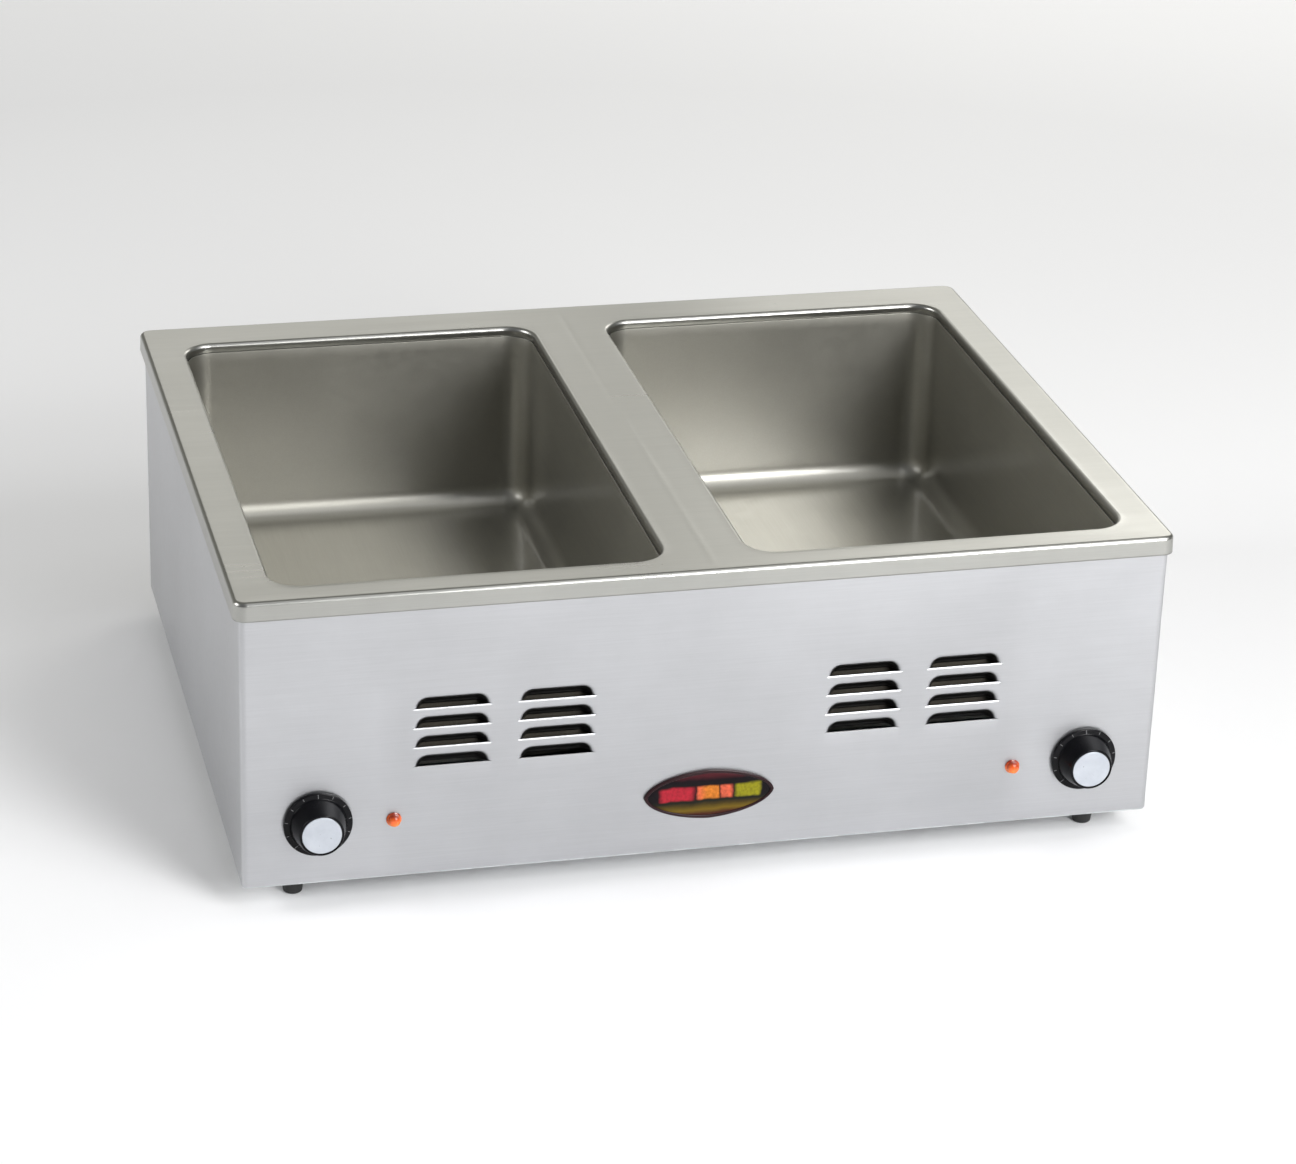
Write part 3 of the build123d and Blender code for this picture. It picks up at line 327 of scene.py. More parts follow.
# Painted shade: the louvre insides and the panel's inner face turn near black with depth behind the front
# face
painted_louvre_shade(panel_finish, wrap_lo.y, (0.10, 0.098, 0.095))
panel_steel = panel_finish.material
well_steel = stainless("well_steel", 1, (0.38, 0.371, 0.332), 0.45, glaze=0.9).material
back_steel = stainless("back_steel", 0, (0.49, 0.49, 0.485), 0.40).material
galvanised = speckled_metal("galvanised_sheet", (0.60, 0.62, 0.63), 0.42)
zinc = speckled_metal("zinc_plating", (0.70, 0.71, 0.72), 0.26, grain=900.0, contrast=0.05)
sheath = speckled_metal("heater_sheath", (0.18, 0.17, 0.16), 0.5, grain=200.0)
copper = speckled_metal("drawn_copper", (0.78, 0.42, 0.26), 0.28, grain=150.0, contrast=0.08)
phenolic = moulded("black_phenolic", (0.003, 0.003, 0.004), 0.16, depth=0.002, shine=0.14)
dial_marks = moulded("dial_marks", (0.15, 0.15, 0.155), 0.5)
rubber = moulded("black_rubber", (0.030, 0.030, 0.030), 0.6, depth=0.02, shine=0.3)
case_resin = moulded("case_resin", (0.035, 0.035, 0.038), 0.45)
cream_resin = moulded("cream_resin", (0.62, 0.56, 0.42), 0.5)
sleeve = moulded("wire_sleeve", (0.05, 0.05, 0.055), 0.6, grain=1500.0, depth=0.05)
nylon = moulded("gland_nylon", (0.03, 0.03, 0.032), 0.4)
wool = moulded("mineral_wool", (0.055, 0.049, 0.038), 0.95, grain=500.0, depth=0.6, spread=0.25)


def spun_disc():
    """Satin anodised disc, softly mottled in tone and finely uneven in gloss."""
    shader = Shader("spun_face", metallic=0.6, base_color=(0.53, 0.56, 0.61, 1.0), roughness=0.36)
    fine = shader.noise((350.0, 350.0, 350.0), detail=3.0)
    soft = shader.noise((90.0, 90.0, 90.0), detail=3.0)
    colours = [(0.3, (0.49, 0.52, 0.57)), (0.7, (0.57, 0.60, 0.65))]
    shader.link(shader.ramp(soft, colours), shader.bsdf.inputs["Base Color"])
    shader.link(shader.ranged(fine, 0.26, 0.42), shader.bsdf.inputs["Roughness"])
    shader.link(shader.bump(fine, 0.01 * MM), shader.bsdf.inputs["Normal"])
    return shader.material


def amber_lens(lens_node):
    """Translucent lens: deep red towards its top and bright orange below, painted shade above and painted
    light through the lens below.
    """
    lo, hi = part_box(lens_node)
    shader = Shader(
        "amber_lens_" + lens_node, base_color=(0.90, 0.20, 0.02, 1.0), roughness=0.12,
        coat_weight=0.4, coat_roughness=0.05, ior=1.49, subsurface_weight=0.3, subsurface_scale=0.004,
    )
    split = shader.node("ShaderNodeSeparateXYZ")
    shader.link(shader.coords.outputs["Object"], split.inputs[0])
    height = shader.ranged(split.outputs["Z"], 0.0, 1.0, from_low=lo.z, from_high=hi.z)
    haze = shader.noise((260.0, 260.0, 260.0))
    haze_share = 0.5
    span = 1.0 + haze_share     # the most that height and haze reach together
    level = shader.node("ShaderNodeMath", operation="MULTIPLY_ADD")
    level.inputs[1].default_value = haze_share
    shader.link(haze, level.inputs[0])
    shader.link(height, level.inputs[2])
    # Painted shade towards the top of the lens and painted light towards its bottom
    colours = [(0.35, (0.95, 0.28, 0.03)), (0.75, (0.85, 0.13, 0.01)), (1.15, (0.28, 0.03, 0.01))]
    stops = [(position / span, colour) for position, colour in colours]
    share = shader.ranged(level.outputs[0], 0.0, 1.0, from_low=0.0, from_high=span)
    shader.link(shader.ramp(share, stops), shader.bsdf.inputs["Base Color"])
    shader.link(shader.ranged(haze, 0.08, 0.18), shader.bsdf.inputs["Roughness"])
    return shader.material


def badge_enamel():
    """Abstract enamel picture: glowing blocks along the middle over a dark ground, ochre along the bottom,
    and a reddish painted highlight along the top.
    """
    lo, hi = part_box("badge_inlay")
    shader = Shader(
        "badge_enamel", base_color=(0.1, 0.02, 0.02, 1.0), roughness=0.42, specular_ior_level=0.10,
    )
    split = shader.node("ShaderNodeSeparateXYZ")
    shader.link(shader.coords.outputs["Object"], split.inputs[0])
    drift = shader.noise((55.0, 55.0, 55.0), detail=4.0)
    grit = shader.noise((420.0, 420.0, 420.0), detail=3.0)

    def shaken(value, low, high, amount):
        level = shader.ranged(value, 0.0, 1.0, from_low=low, from_high=high)
        item = shader.node("ShaderNodeMath", operation="MULTIPLY_ADD")
        item.inputs[1].default_value = amount
        centred = shader.ranged(drift, -0.5, 0.5)
        shader.link(centred, item.inputs[0])
        shader.link(level, item.inputs[2])
        return item.outputs[0]

    def blended(factor, first, second):
        item = shader.node("ShaderNodeMix", data_type="RGBA")
        shader.link(factor, item.inputs["Factor"])
        shader.link(first, item.inputs[MIX_FIRST])
        shader.link(second, item.inputs[MIX_SECOND])
        return item.outputs[MIX_RESULT]

    along = shaken(split.outputs["X"], lo.x, hi.x, 0.035)
    up = shaken(split.outputs["Z"], lo.z, hi.z, 0.07)
    night, red, orange = (0.006, 0.004, 0.006), (0.40, 0.020, 0.035), (0.62, 0.19, 0.025)
    coral, olive = (0.66, 0.12, 0.06), (0.26, 0.24, 0.012)
    none, full = (0, 0, 0), (1, 1, 1)
    blocks = shader.ramp(along, [
        (0.09, night), (0.13, red), (0.35, red), (0.39, night), (0.41, coral),
        (0.47, orange), (0.575, orange), (0.585, night), (0.60, coral), (0.67, coral),
        (0.70, night), (0.73, olive), (0.90, olive), (0.93, night),
    ])
    # The last, reddish stop near the top is a painted highlight along the picture's upper edge
    ground = shader.ramp(up, [
        (0.05, (0.06, 0.018, 0.01)), (0.15, (0.14, 0.09, 0.010)), (0.26, (0.05, 0.034, 0.008)),
        (0.33, (0.012, 0.012, 0.008)), (0.84, night), (0.95, (0.06, 0.010, 0.014)),
    ])
    middle = shader.ramp(up, [(0.36, none), (0.41, full), (0.67, full), (0.73, none)])
    grain = shader.ranged(grit, 0.55, 1.1)
    shade = shader.node("ShaderNodeMath", operation="MULTIPLY")
    shader.link(middle, shade.inputs[0])
    shader.link(grain, shade.inputs[1])
    shader.link(blended(shade.outputs[0], ground, blocks), shader.bsdf.inputs["Base Color"])
    shader.link(shader.bump(drift, 0.03 * MM), shader.bsdf.inputs["Normal"])
    return shader.material


spun_face = spun_disc()
ambers = {side: amber_lens(f"pilot_lens_{side}") for side in SIDES}
badge_rim_paint = moulded("badge_rim", (0.018, 0.004, 0.006), 0.3, gloss_coat=0.1, depth=0.003, shine=0.2)
badge_picture = badge_enamel()


# ------------------------------------------------------------------ rounded rectangles
def ring(centre, half_w, half_d, radius, steps, spans_x, spans_y):
    """Points of a rounded rectangle, anticlockwise from its right side.

    Each is (x, y, normal x, normal y, corner); corner is (index, share of its turn), or None on a straight.
    """
    cx, cy = centre
    corners = ((1, 1, 0), (-1, 1, 90), (-1, -1, 180), (1, -1, 270))
    points = []
    for index, (sx, sy, first) in enumerate(corners):
        mx = cx + sx * (half_w - radius)
        my = cy + sy * (half_d - radius)
        for k in range(steps + 1):
            angle = math.radians(first + 90 * k / steps)
            points.append((mx + radius * math.cos(angle), my + radius * math.sin(angle),
                           math.cos(angle), math.sin(angle), (index, k / steps)))
        next_sx, next_sy, _ = corners[(index + 1) % 4]
        end_x = cx + next_sx * (half_w - radius) + (radius * math.cos(math.radians(first + 90)))
        end_y = cy + next_sy * (half_d - radius) + (radius * math.sin(math.radians(first + 90)))
        start_x, start_y = points[-1][0], points[-1][1]
        spans = spans_x if index % 2 == 0 else spans_y
        for k in range(1, spans):
            t = k / spans
            points.append((start_x + (end_x - start_x) * t, start_y + (end_y - start_y) * t,
                           points[-1][2], points[-1][3], None))
    return points


CORNER_STEPS = 12
SPANS_X = 14
SPANS_Y = 24
WELL_CORNER = 24 * MM
WELL_COVE = 18 * MM
WELL_DEPTH = 165 * MM       # from the deck's top face
ROLL = 3.5 * MM             # rolled edge of each opening
COLLAR = 8 * MM             # turned down into the well
DECK_BEND = 3.5 * MM
DECK_CORNER = 10 * MM       # in plan
FLARE = 0.4 * MM            # spring of the skirt's lower edge past its bend
ROLL_STEPS = 8              # along each rolled or bent edge
DECK_SAG = 0.35 * MM
SAG_FADE = 12 * MM          # from the deck's straight edges inwards
WELD = 1e-6                 # points closer than this become one


def well_ring(side, inset=0.0, corner=WELL_CORNER):
    """Outline of one well's inner wall, moved inwards by inset."""
    lo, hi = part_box(f"well_{side}")
    half_w = (hi.x - lo.x) / 2 - SHEET - inset
    half_d = (hi.y - lo.y) / 2 - SHEET - inset
    centre = ((lo.x + hi.x) / 2, (lo.y + hi.y) / 2)
    return ring(centre, half_w, half_d, corner, CORNER_STEPS, SPANS_X, SPANS_Y)


# ------------------------------------------------------------------ deck
def cell_edge(points):
    """Where each point of the left well's outline meets the edge of the deck's flat left half."""
    left = deck_lo.x + DECK_BEND + FLARE
    front = deck_lo.y + DECK_BEND + FLARE
    back = deck_hi.y - DECK_BEND - FLARE
    tip = DECK_CORNER - DECK_BEND
    arc_x = max(p[0] for p in points) - WELL_CORNER
    arc_back = max(p[1] for p in points) - WELL_CORNER
    arc_front = min(p[1] for p in points) + WELL_CORNER
    result = []
    for x, y, nx, ny, corner in points:
        if corner is None:
            if abs(nx) > abs(ny):
                result.append((left if nx < 0 else 0.0, y, nx, ny))
            else:
                result.append((x, back if ny > 0 else front, nx, ny))
            continue
        index, t = corner
        if index in (1, 2):
            middle_y = back - tip if index == 1 else front + tip
            result.append((left + tip + tip * nx, middle_y + tip * ny, nx, ny))
        elif index == 0:
            if t < 0.5:
                result.append((0.0, arc_back + (back - arc_back) * 2 * t, 1.0, 0.0))
            else:
                result.append((arc_x * (2 * t - 1), back, 0.0, 1.0))
        elif t <= 0.5:
            result.append((arc_x * (1 - 2 * t), front, 0.0, -1.0))
        else:
            result.append((0.0, front + (arc_front - front) * (2 * t - 1), 1.0, 0.0))
    return result


def deck_dip(x, y):
    """How far the flat deck has sunk at a point, fading out towards its straight edges."""
    edge = min(x - deck_lo.x, deck_hi.x - x, y - deck_lo.y, deck_hi.y - y)
    fade = min(1.0, max(0.0, (edge - DECK_BEND) / SAG_FADE))
    return DECK_SAG * fade * ripple(x, y, 0.0, 0.11, 3.1)


def half_deck():
    """Rows of the left half of the deck, from the collar out to the skirt, and the skirt's own rows."""
    outline = well_ring("left")
    top = deck_hi.z
    rows = [[(x, y, top - COLLAR) for x, y, *_ in outline]]
    for angle in quarter_angles(ROLL_STEPS):
        out = ROLL * (1 - math.cos(angle))
        z = top - ROLL + ROLL * math.sin(angle)
        rows.append([(x + nx * out, y + ny * out, z) for x, y, nx, ny, _ in outline])
    edge = cell_edge(outline)
    for share in (0.06, 0.2, 0.4, 0.6, 0.8, 0.94, 1.0):
        row = []
        for (x, y, nx, ny, _), (ex, ey, _, _) in zip(outline, edge):
            sx, sy = x + nx * ROLL, y + ny * ROLL
            px, py = sx + (ex - sx) * share, sy + (ey - sy) * share
            # No dip in the last row, so that it meets the skirt. It leaves a faint ridge down the middle.
            dip = deck_dip(px, py) if share < 1.0 else 0.0
            row.append((px, py, top - dip))
        rows.append(row)
    # The skirt hangs from the whole edge but the centre line
    first = CORNER_STEPS // 2
    last = len(outline) - SPANS_Y - CORNER_STEPS // 2
    skirt_edge = edge[first:last + 1]
    skirt = []
    for angle in quarter_angles(ROLL_STEPS):
        out = DECK_BEND * math.sin(angle)
        z = top - DECK_BEND * (1 - math.cos(angle))
        skirt.append([(x + nx * out, y + ny * out, z) for x, y, nx, ny in skirt_edge])
    for share in (0.1, 0.5, 0.9, 1.0):
        z = top - DECK_BEND + (deck_lo.z - top + DECK_BEND) * share
        out = DECK_BEND + FLARE * share
        skirt.append([(x + nx * out, y + ny * out, z) for x, y, nx, ny in skirt_edge])
    return rows, skirt


def build_deck():
    """Deck sheet from its left half and the mirror of that, joined down the middle."""
    rows, skirt = half_deck()
    mesh = bmesh.new()
    for mirror in (1, -1):
        for block, closed in ((rows, True), (skirt, False)):
            verts, faces = bridge(block, closed)
            made = [mesh.verts.new((mirror * x, y, z)) for x, y, z in verts]
            for face in faces:
                mesh.faces.new([made[i] for i in face])
    bmesh.ops.remove_doubles(mesh, verts=mesh.verts, dist=WELD)
    bmesh.ops.recalc_face_normals(mesh, faces=mesh.faces)
    mesh.faces.ensure_lookup_table()
    top_face = max(mesh.faces, key=lambda f: f.calc_center_median().z)
    if top_face.normal.z < 0:
        bmesh.ops.reverse_faces(mesh, faces=mesh.faces)
    data = bpy.data.meshes.new("deck_sheet")
    mesh.to_mesh(data)
    mesh.free()
    for polygon in data.polygons:
        polygon.use_smooth = True
    data.materials.append(deck_steel)
    obj = bpy.data.objects.new("deck_sheet", data)
    scene.collection.objects.link(obj)
    thicken(obj)
    place(obj, "root", "stainless", "deck")


build_deck()


# ------------------------------------------------------------------ wells
def build_well(side):
    """Drawn liner: straight walls, a cove round the floor, and a floor that sinks slightly to its middle."""
    top = deck_hi.z - COLLAR
    floor = deck_hi.z - WELL_DEPTH
    seed = 1.7 if side == "left" else 8.3
    swell = 0.5 * MM            # the most that a wall bows out or the floor sinks
    wall_rows = 14
    rows = []
    for k in range(wall_rows + 1):
        z = top + (floor + WELL_COVE - top) * k / wall_rows
        fade = math.sin(math.pi * k / wall_rows) ** 0.5
        row = []
        for x, y, nx, ny, _ in well_ring(side):
            bulge = swell * fade * ripple(x, y, z, 0.13, seed)
            row.append((x + nx * bulge, y + ny * bulge, z))
        rows.append(row)
    for angle in quarter_angles(ROLL_STEPS)[1:]:
        inset = WELL_COVE * (1 - math.cos(angle))
        z = floor + WELL_COVE - WELL_COVE * math.sin(angle)
        corner = WELL_CORNER - inset
        rows.append([(x, y, z) for x, y, *_ in well_ring(side, inset, corner)])
    floor_insets = [inset_mm * MM for inset_mm in (21, 30, 45, 65, 90, 115, 138)]
    for step, inset in enumerate(floor_insets):
        corner = max(1 * MM, WELL_CORNER - inset)
        row = []
        for x, y, *_ in well_ring(side, inset, corner):
            dip = swell * ripple(x, y, floor, 0.12, seed) * min(1.0, step / 2)
            row.append((x, y, floor - dip))
        rows.append(row)
    verts, faces = bridge(rows, True)
    count = len(rows[0])
    start = len(verts) - count
    faces.append(tuple(range(start, start + count)))
    faces = [tuple(reversed(face)) for face in faces]
    obj = add_object(f"well_liner_{side}", verts, faces, well_steel)
    thicken(obj)
    place(obj, "root", "stainless", f"well_{side}")


for side in SIDES:
    build_well(side)


# ------------------------------------------------------------------ body wrap with its louvres
BODY_BEND = 5 * MM          # upright corners
REAR_LIP = 14 * MM          # turned in behind the back panel
LOUVRE_W = 59 * MM
LOUVRE_H = 10.5 * MM
LOUVRE_DEPTH = 9 * MM
LOUVRE_PITCH = 16.2 * MM
LOUVRE_DROP = 99 * MM       # from the deck's top face to the highest slit
LOUVRE_COLUMNS = [x * MM for x in (-202.5, -121.5, 121.5, 202.5)]
LOUVRE_SLITS = [deck_hi.z - (LOUVRE_DROP + LOUVRE_PITCH * row) for row in range(4)]
LOUVRE_MARGIN = 1.5 * MM    # finely divided sheet on each side of a louvre
BEND_STEPS = 6              # round each upright corner
PANEL_WAVE = 0.30 * MM      # the most that the panels sink between their edges
LEVEL = 1e-9                # heights closer than this are the same


def louvre_press(x, z, slit):
    """How deep a point of the front panel is pressed in by the louvres that stand on one slit line."""
    spine = LOUVRE_W / 2 - LOUVRE_H
    slope_share = 0.82          # share of a louvre's height over which it reaches its full depth
    for column in LOUVRE_COLUMNS:
        dx = max(0.0, abs(x - column) - spine)
        dz = z - slit
        if dz < -LEVEL or dz > LOUVRE_H:
            continue
        q = math.hypot(dx, dz) / LOUVRE_H
        if q < 1.0:
            t = min(1.0, (1.0 - q) / slope_share)
            return LOUVRE_DEPTH * t * t * (3 - 2 * t)
    return 0.0


def upright_corner(cx, cy, start):
    """Points of one bent corner of the body, a quarter turn anticlockwise from the angle start."""
    points = []
    for turn in quarter_angles(BEND_STEPS):
        c, n = math.cos(start + turn), math.sin(start + turn)
        points.append((cx + BODY_BEND * c, cy + BODY_BEND * n, c, n))
    return points


def wrap_path():
    """Points round the body from the back of the left side to the back of the right side."""
    left, right = wrap_lo.x, wrap_hi.x
    front, back = wrap_lo.y, wrap_hi.y
    straight = BODY_BEND + 1 * MM       # from an outer corner to the first point of its straight side
    side_ends = (back - straight, front + straight)
    path = [(x, back, 0.0, 1.0) for x in (left + REAR_LIP, left + REAR_LIP / 2)]
    path += upright_corner(left + BODY_BEND, back - BODY_BEND, math.pi / 2)
    path += [(left, y, -1.0, 0.0) for y in [*steps_between(*side_ends, 24), side_ends[1]]]
    path += upright_corner(left + BODY_BEND, front + BODY_BEND, math.pi)
    xs = [left + straight]
    for column in LOUVRE_COLUMNS:
        gap_start = xs[-1]
        first = column - LOUVRE_W / 2 - LOUVRE_MARGIN
        last = column + LOUVRE_W / 2 + LOUVRE_MARGIN
        xs += steps_between(gap_start, first, max(2, round((first - gap_start) / (12 * MM))))[1:]
        xs += steps_between(first, last, 40) + [last]
    xs += steps_between(xs[-1], right - straight, 12)[1:] + [right - straight]
    path += [(x, front, 0.0, -1.0) for x in xs]
    path += upright_corner(right - BODY_BEND, front + BODY_BEND, 1.5 * math.pi)
    path += [(right, y, 1.0, 0.0) for y in [*steps_between(*side_ends[::-1], 24), side_ends[0]]]
    path += upright_corner(right - BODY_BEND, back - BODY_BEND, 0.0)
    path += [(x, back, 0.0, 1.0) for x in (right - REAR_LIP / 2, right - REAR_LIP)]
    return path


def build_wrap():
    """Front and sides as one bent sheet, each louvre slit along its lower edge and pressed in above it."""
    path = wrap_path()
    bottom, top = wrap_lo.z, wrap_hi.z
    levels = steps_between(bottom, LOUVRE_SLITS[-1], 8)
    for slit in reversed(LOUVRE_SLITS):
        levels += steps_between(slit, slit + LOUVRE_H, 10)
        levels += steps_between(slit + LOUVRE_H, slit + LOUVRE_PITCH, 3)
    levels += steps_between(LOUVRE_SLITS[0] + LOUVRE_PITCH, top, 8) + [top]
    fade_length = 20 * MM       # from flat to the full wave, near the bottom edge and below the deck's skirt
    under_deck = 14 * MM
    verts, lower, upper = [], {}, {}
    for r, z in enumerate(levels):
        slit = max((s for s in LOUVRE_SLITS if s <= z + LEVEL), default=None)
        edge_fade = min(1.0, (z - bottom) / fade_length, max(0.0, top - z - under_deck) / fade_length)
        for c, (x, y, nx, ny) in enumerate(path):
            wave = PANEL_WAVE * max(0.0, edge_fade) * ripple(x, y, z, 0.10, 5.5)
            base = (x - nx * wave, y - ny * wave, z)
            on_front = ny < -0.999
            press = louvre_press(x, z, slit) if slit is not None and on_front else 0.0
            lower[r, c] = len(verts)
            # On a slit the sheet is cut: one point stays on the panel and its twin is pressed in
            if press > 0.0 and abs(z - slit) < LEVEL:
                verts.append(base)
                upper[r, c] = len(verts)
                verts.append((base[0], base[1] + press, z))
            else:
                verts.append((base[0], base[1] + press, z))
                upper[r, c] = lower[r, c]
    faces = []
    for r in range(len(levels) - 1):
        for c in range(len(path) - 1):
            faces.append((upper[r, c], upper[r, c + 1], lower[r + 1, c + 1], lower[r + 1, c]))
    obj = add_object("body_sheet", verts, faces, panel_steel)
    thicken(obj)
    place(obj, "root", "stainless", "body_wrap")


build_wrap()


# ------------------------------------------------------------------ knobs
# Radii and distances out of the panel are in millimetres in this section and the next.
SKIRT_EDGE = 26.5
SKIRT_OUTER = 3.6           # height of the skirt's face at its edge
SKIRT_INNER = 4.4           # and where the grip rises from it
SKIRT_BACK = 0.8
GRIP_BASE = 22.0
GRIP_FOOT = 0.4             # width of the curve between skirt and grip
STROKES = 11
STROKE_ANGLE = 27           # degrees from one stroke to the next
FIRST_STROKE = -45


def knob_profile(reach):
    """Skirt, tapered grip and the disc's shallow seat, for a grip that stands reach out of the panel."""
    return [
        (SKIRT_EDGE - 2, SKIRT_BACK), (SKIRT_EDGE, SKIRT_BACK), (SKIRT_EDGE, SKIRT_OUTER),
        (GRIP_BASE + GRIP_FOOT, SKIRT_INNER), (GRIP_BASE, SKIRT_INNER + 1),
        (17.0, reach), (15.4, reach), (15.25, reach - 0.9), (0.01, reach - 0.9),
    ]


def cap_profile(reach):
    """Face disc with a slightly chamfered rim, just below the grip's end."""
    return [(15.18, reach - 0.95), (15.18, reach - 0.1), (13.2, reach - 0.05), (0.01, reach - 0.05)]


def knob_axis(side):
    """Where a knob's axis meets the front panel."""
    lo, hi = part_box(f"knob_{side}")
    return Vector(((lo.x + hi.x) / 2, wrap_lo.y, (lo.z + hi.z) / 2))


def turned_piece(name, profile, corner_mm, centre, material, segments=128):
    """Turned part whose profile is in millimetres: (radius, distance out of the panel)."""
    soft = rounded([(r * MM, d * MM) for r, d in profile], corner_mm * MM)
    rows = [[Vector(p) + centre for p in row] for row in turned(soft, segments)]
    verts, faces = bridge(rows, True)
    obj = add_object(name, verts, faces, material)
    even_shading(obj)
    return obj


def build_marks(side, centre):
    """Raised scale on the knob's skirt, with every fifth stroke longer."""
    half = 0.3 * MM             # of a stroke's width
    taper = 0.3 * MM            # length of its narrowed ends
    crown, sunk = 0.10, -0.3    # of its top above the skirt, and of its foot below, in millimetres
    sections = ((-1.0, sunk), (-0.8, crown), (0.8, crown), (1.0, sunk))
    verts, faces = [], []
    for mark in range(STROKES):
        angle = math.radians(FIRST_STROKE + STROKE_ANGLE * mark)
        along = Vector((math.cos(angle), 0, math.sin(angle)))
        across = Vector((-math.sin(angle), 0, math.cos(angle)))
        inner = (GRIP_BASE + (0.7 if mark % 5 == 0 else 1.6)) * MM
        outer = (SKIRT_EDGE - 0.7) * MM
        widths = ((inner, half * 0.7), (inner + taper, half), (outer - taper, half), (outer, half * 0.7))
        ends = []
        for radius, width in widths:
            slope = (radius / MM - GRIP_BASE - GRIP_FOOT) / (SKIRT_EDGE - GRIP_BASE - GRIP_FOOT)
            surface = (SKIRT_INNER - (SKIRT_INNER - SKIRT_OUTER) * slope) * MM
            row = []
            for sideways, lift in sections:
                point = centre + along * radius + across * (width * sideways)
                row.append(point + Vector((0, -(surface + lift * MM), 0)))
            ends.append(row)
        start = len(verts)
        block, quads = bridge(ends, True)
        verts += block
        faces += [tuple(start + i for i in quad) for quad in quads]
        faces.append(tuple(start + i for i in (3, 2, 1, 0)))
        faces.append(tuple(start + len(block) - 4 + i for i in range(4)))
    marks = add_object(f"dial_marks_{side}", verts, faces, dial_marks, smooth=False)
    place(marks, f"dial_{side}", "knob_black")


for side in SIDES:
    centre = knob_axis(side)
    reach = (centre.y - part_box(f"knob_{side}")[0].y) / MM
    knob = turned_piece(f"dial_knob_{side}", knob_profile(reach), 0.9, centre, phenolic)
    place(knob, f"dial_{side}", "knob_black", f"knob_{side}")
    cap = turned_piece(f"dial_face_{side}", cap_profile(reach), 0.4, centre, spun_face)
    place(cap, f"dial_{side}", "knob_face", f"knob_cap_{side}")
    build_marks(side, centre)


# ------------------------------------------------------------------ pilot lamps and badge
LENS_PROFILE = [
    (5.9, 0.0), (5.9, 0.9), (5.2, 1.25), (5.0, 1.9), (4.85, 3.2),
    (4.3, 4.6), (3.2, 5.7), (1.7, 6.3), (0.01, 6.5),
]

for side in SIDES:
    lo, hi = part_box(f"pilot_lens_{side}")
    centre = Vector(((lo.x + hi.x) / 2, wrap_lo.y, (lo.z + hi.z) / 2))
    lens = turned_piece(f"lamp_lens_{side}", LENS_PROFILE, 0.5, centre, ambers[side], segments=64)
    place(lens, "root", "lamp_amber", f"pilot_lens_{side}")


def oval_rows(centre, half_w, half_h, profile, segments=160):
    """Rows round an oval with slightly drawn-out ends, for (inset, distance out of the panel) pairs."""
    rows = []
    for inset, out in profile:
        row = []
        for k in range(segments):
            angle = 2 * math.pi * k / segments
            c, n = math.cos(angle), math.sin(angle)
            pinch = 1 - 0.05 * abs(math.sin(2 * angle))
            row.append((centre.x + (half_w - inset * MM) * c * pinch, centre.y - out * MM,
                        centre.z + (half_h - inset * MM) * n * pinch))
        rows.append(row)
    return rows


def build_badge():
    """Oval rim with a slightly domed picture inside it."""
    lo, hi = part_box("badge_plate")
    centre = Vector(((lo.x + hi.x) / 2, wrap_lo.y, (lo.z + hi.z) / 2))
    half_w, half_h = (hi.x - lo.x) / 2, (hi.z - lo.z) / 2
    rim = rounded([(0.0, 0.0), (0.0, 1.9), (0.9, 2.4), (2.6, 2.4), (3.0, 1.6)], 0.5)
    verts, faces = bridge(oval_rows(centre, half_w, half_h, rim), True)
    plate = add_object("badge_oval_rim", verts, faces, badge_rim_paint)
    even_shading(plate)
    place(plate, "root", "badge_frame", "badge_plate")
    domed = [(2.9, 1.7), (3.4, 1.95), (6.0, 2.1), (10.0, 2.15), (15.0, 2.2), (20.6, 2.2)]
    rows = oval_rows(centre, half_w, half_h, domed)
    verts, faces = bridge(rows, True)
    count = len(rows[0])
    faces.append(tuple(range(len(verts) - count, len(verts))))
    picture = add_object("badge_enamel_oval", verts, faces, badge_picture)
    place(picture, "root", "badge_art", "badge_inlay")


build_badge()


# ------------------------------------------------------------------ carried-over CAD nodes
NODE_MATERIALS = {
    "stainless": back_steel,
    "galvanised": galvanised,
    "zinc_plate": zinc,
    "knob_black": phenolic,
    "knob_face": spun_face,
    "lamp_amber": ambers["left"],
    "badge_frame": badge_rim_paint,
    "badge_art": badge_picture,
    "rubber_foot": rubber,
    "heater_sheath": sheath,
    "mineral_wool": wool,
    "copper": copper,
    "moulded_case": case_resin,
    "terminal_resin": cream_resin,
    "wire_sleeve": sleeve,
    "gland_nylon": nylon,
}
for subpart in frame["record"]["subparts"]:
    node = frame["nodes"][subpart["node"]]
    for material_slot in node.material_slots:
        material_slot.material = NODE_MATERIALS[subpart["material_slot"]]


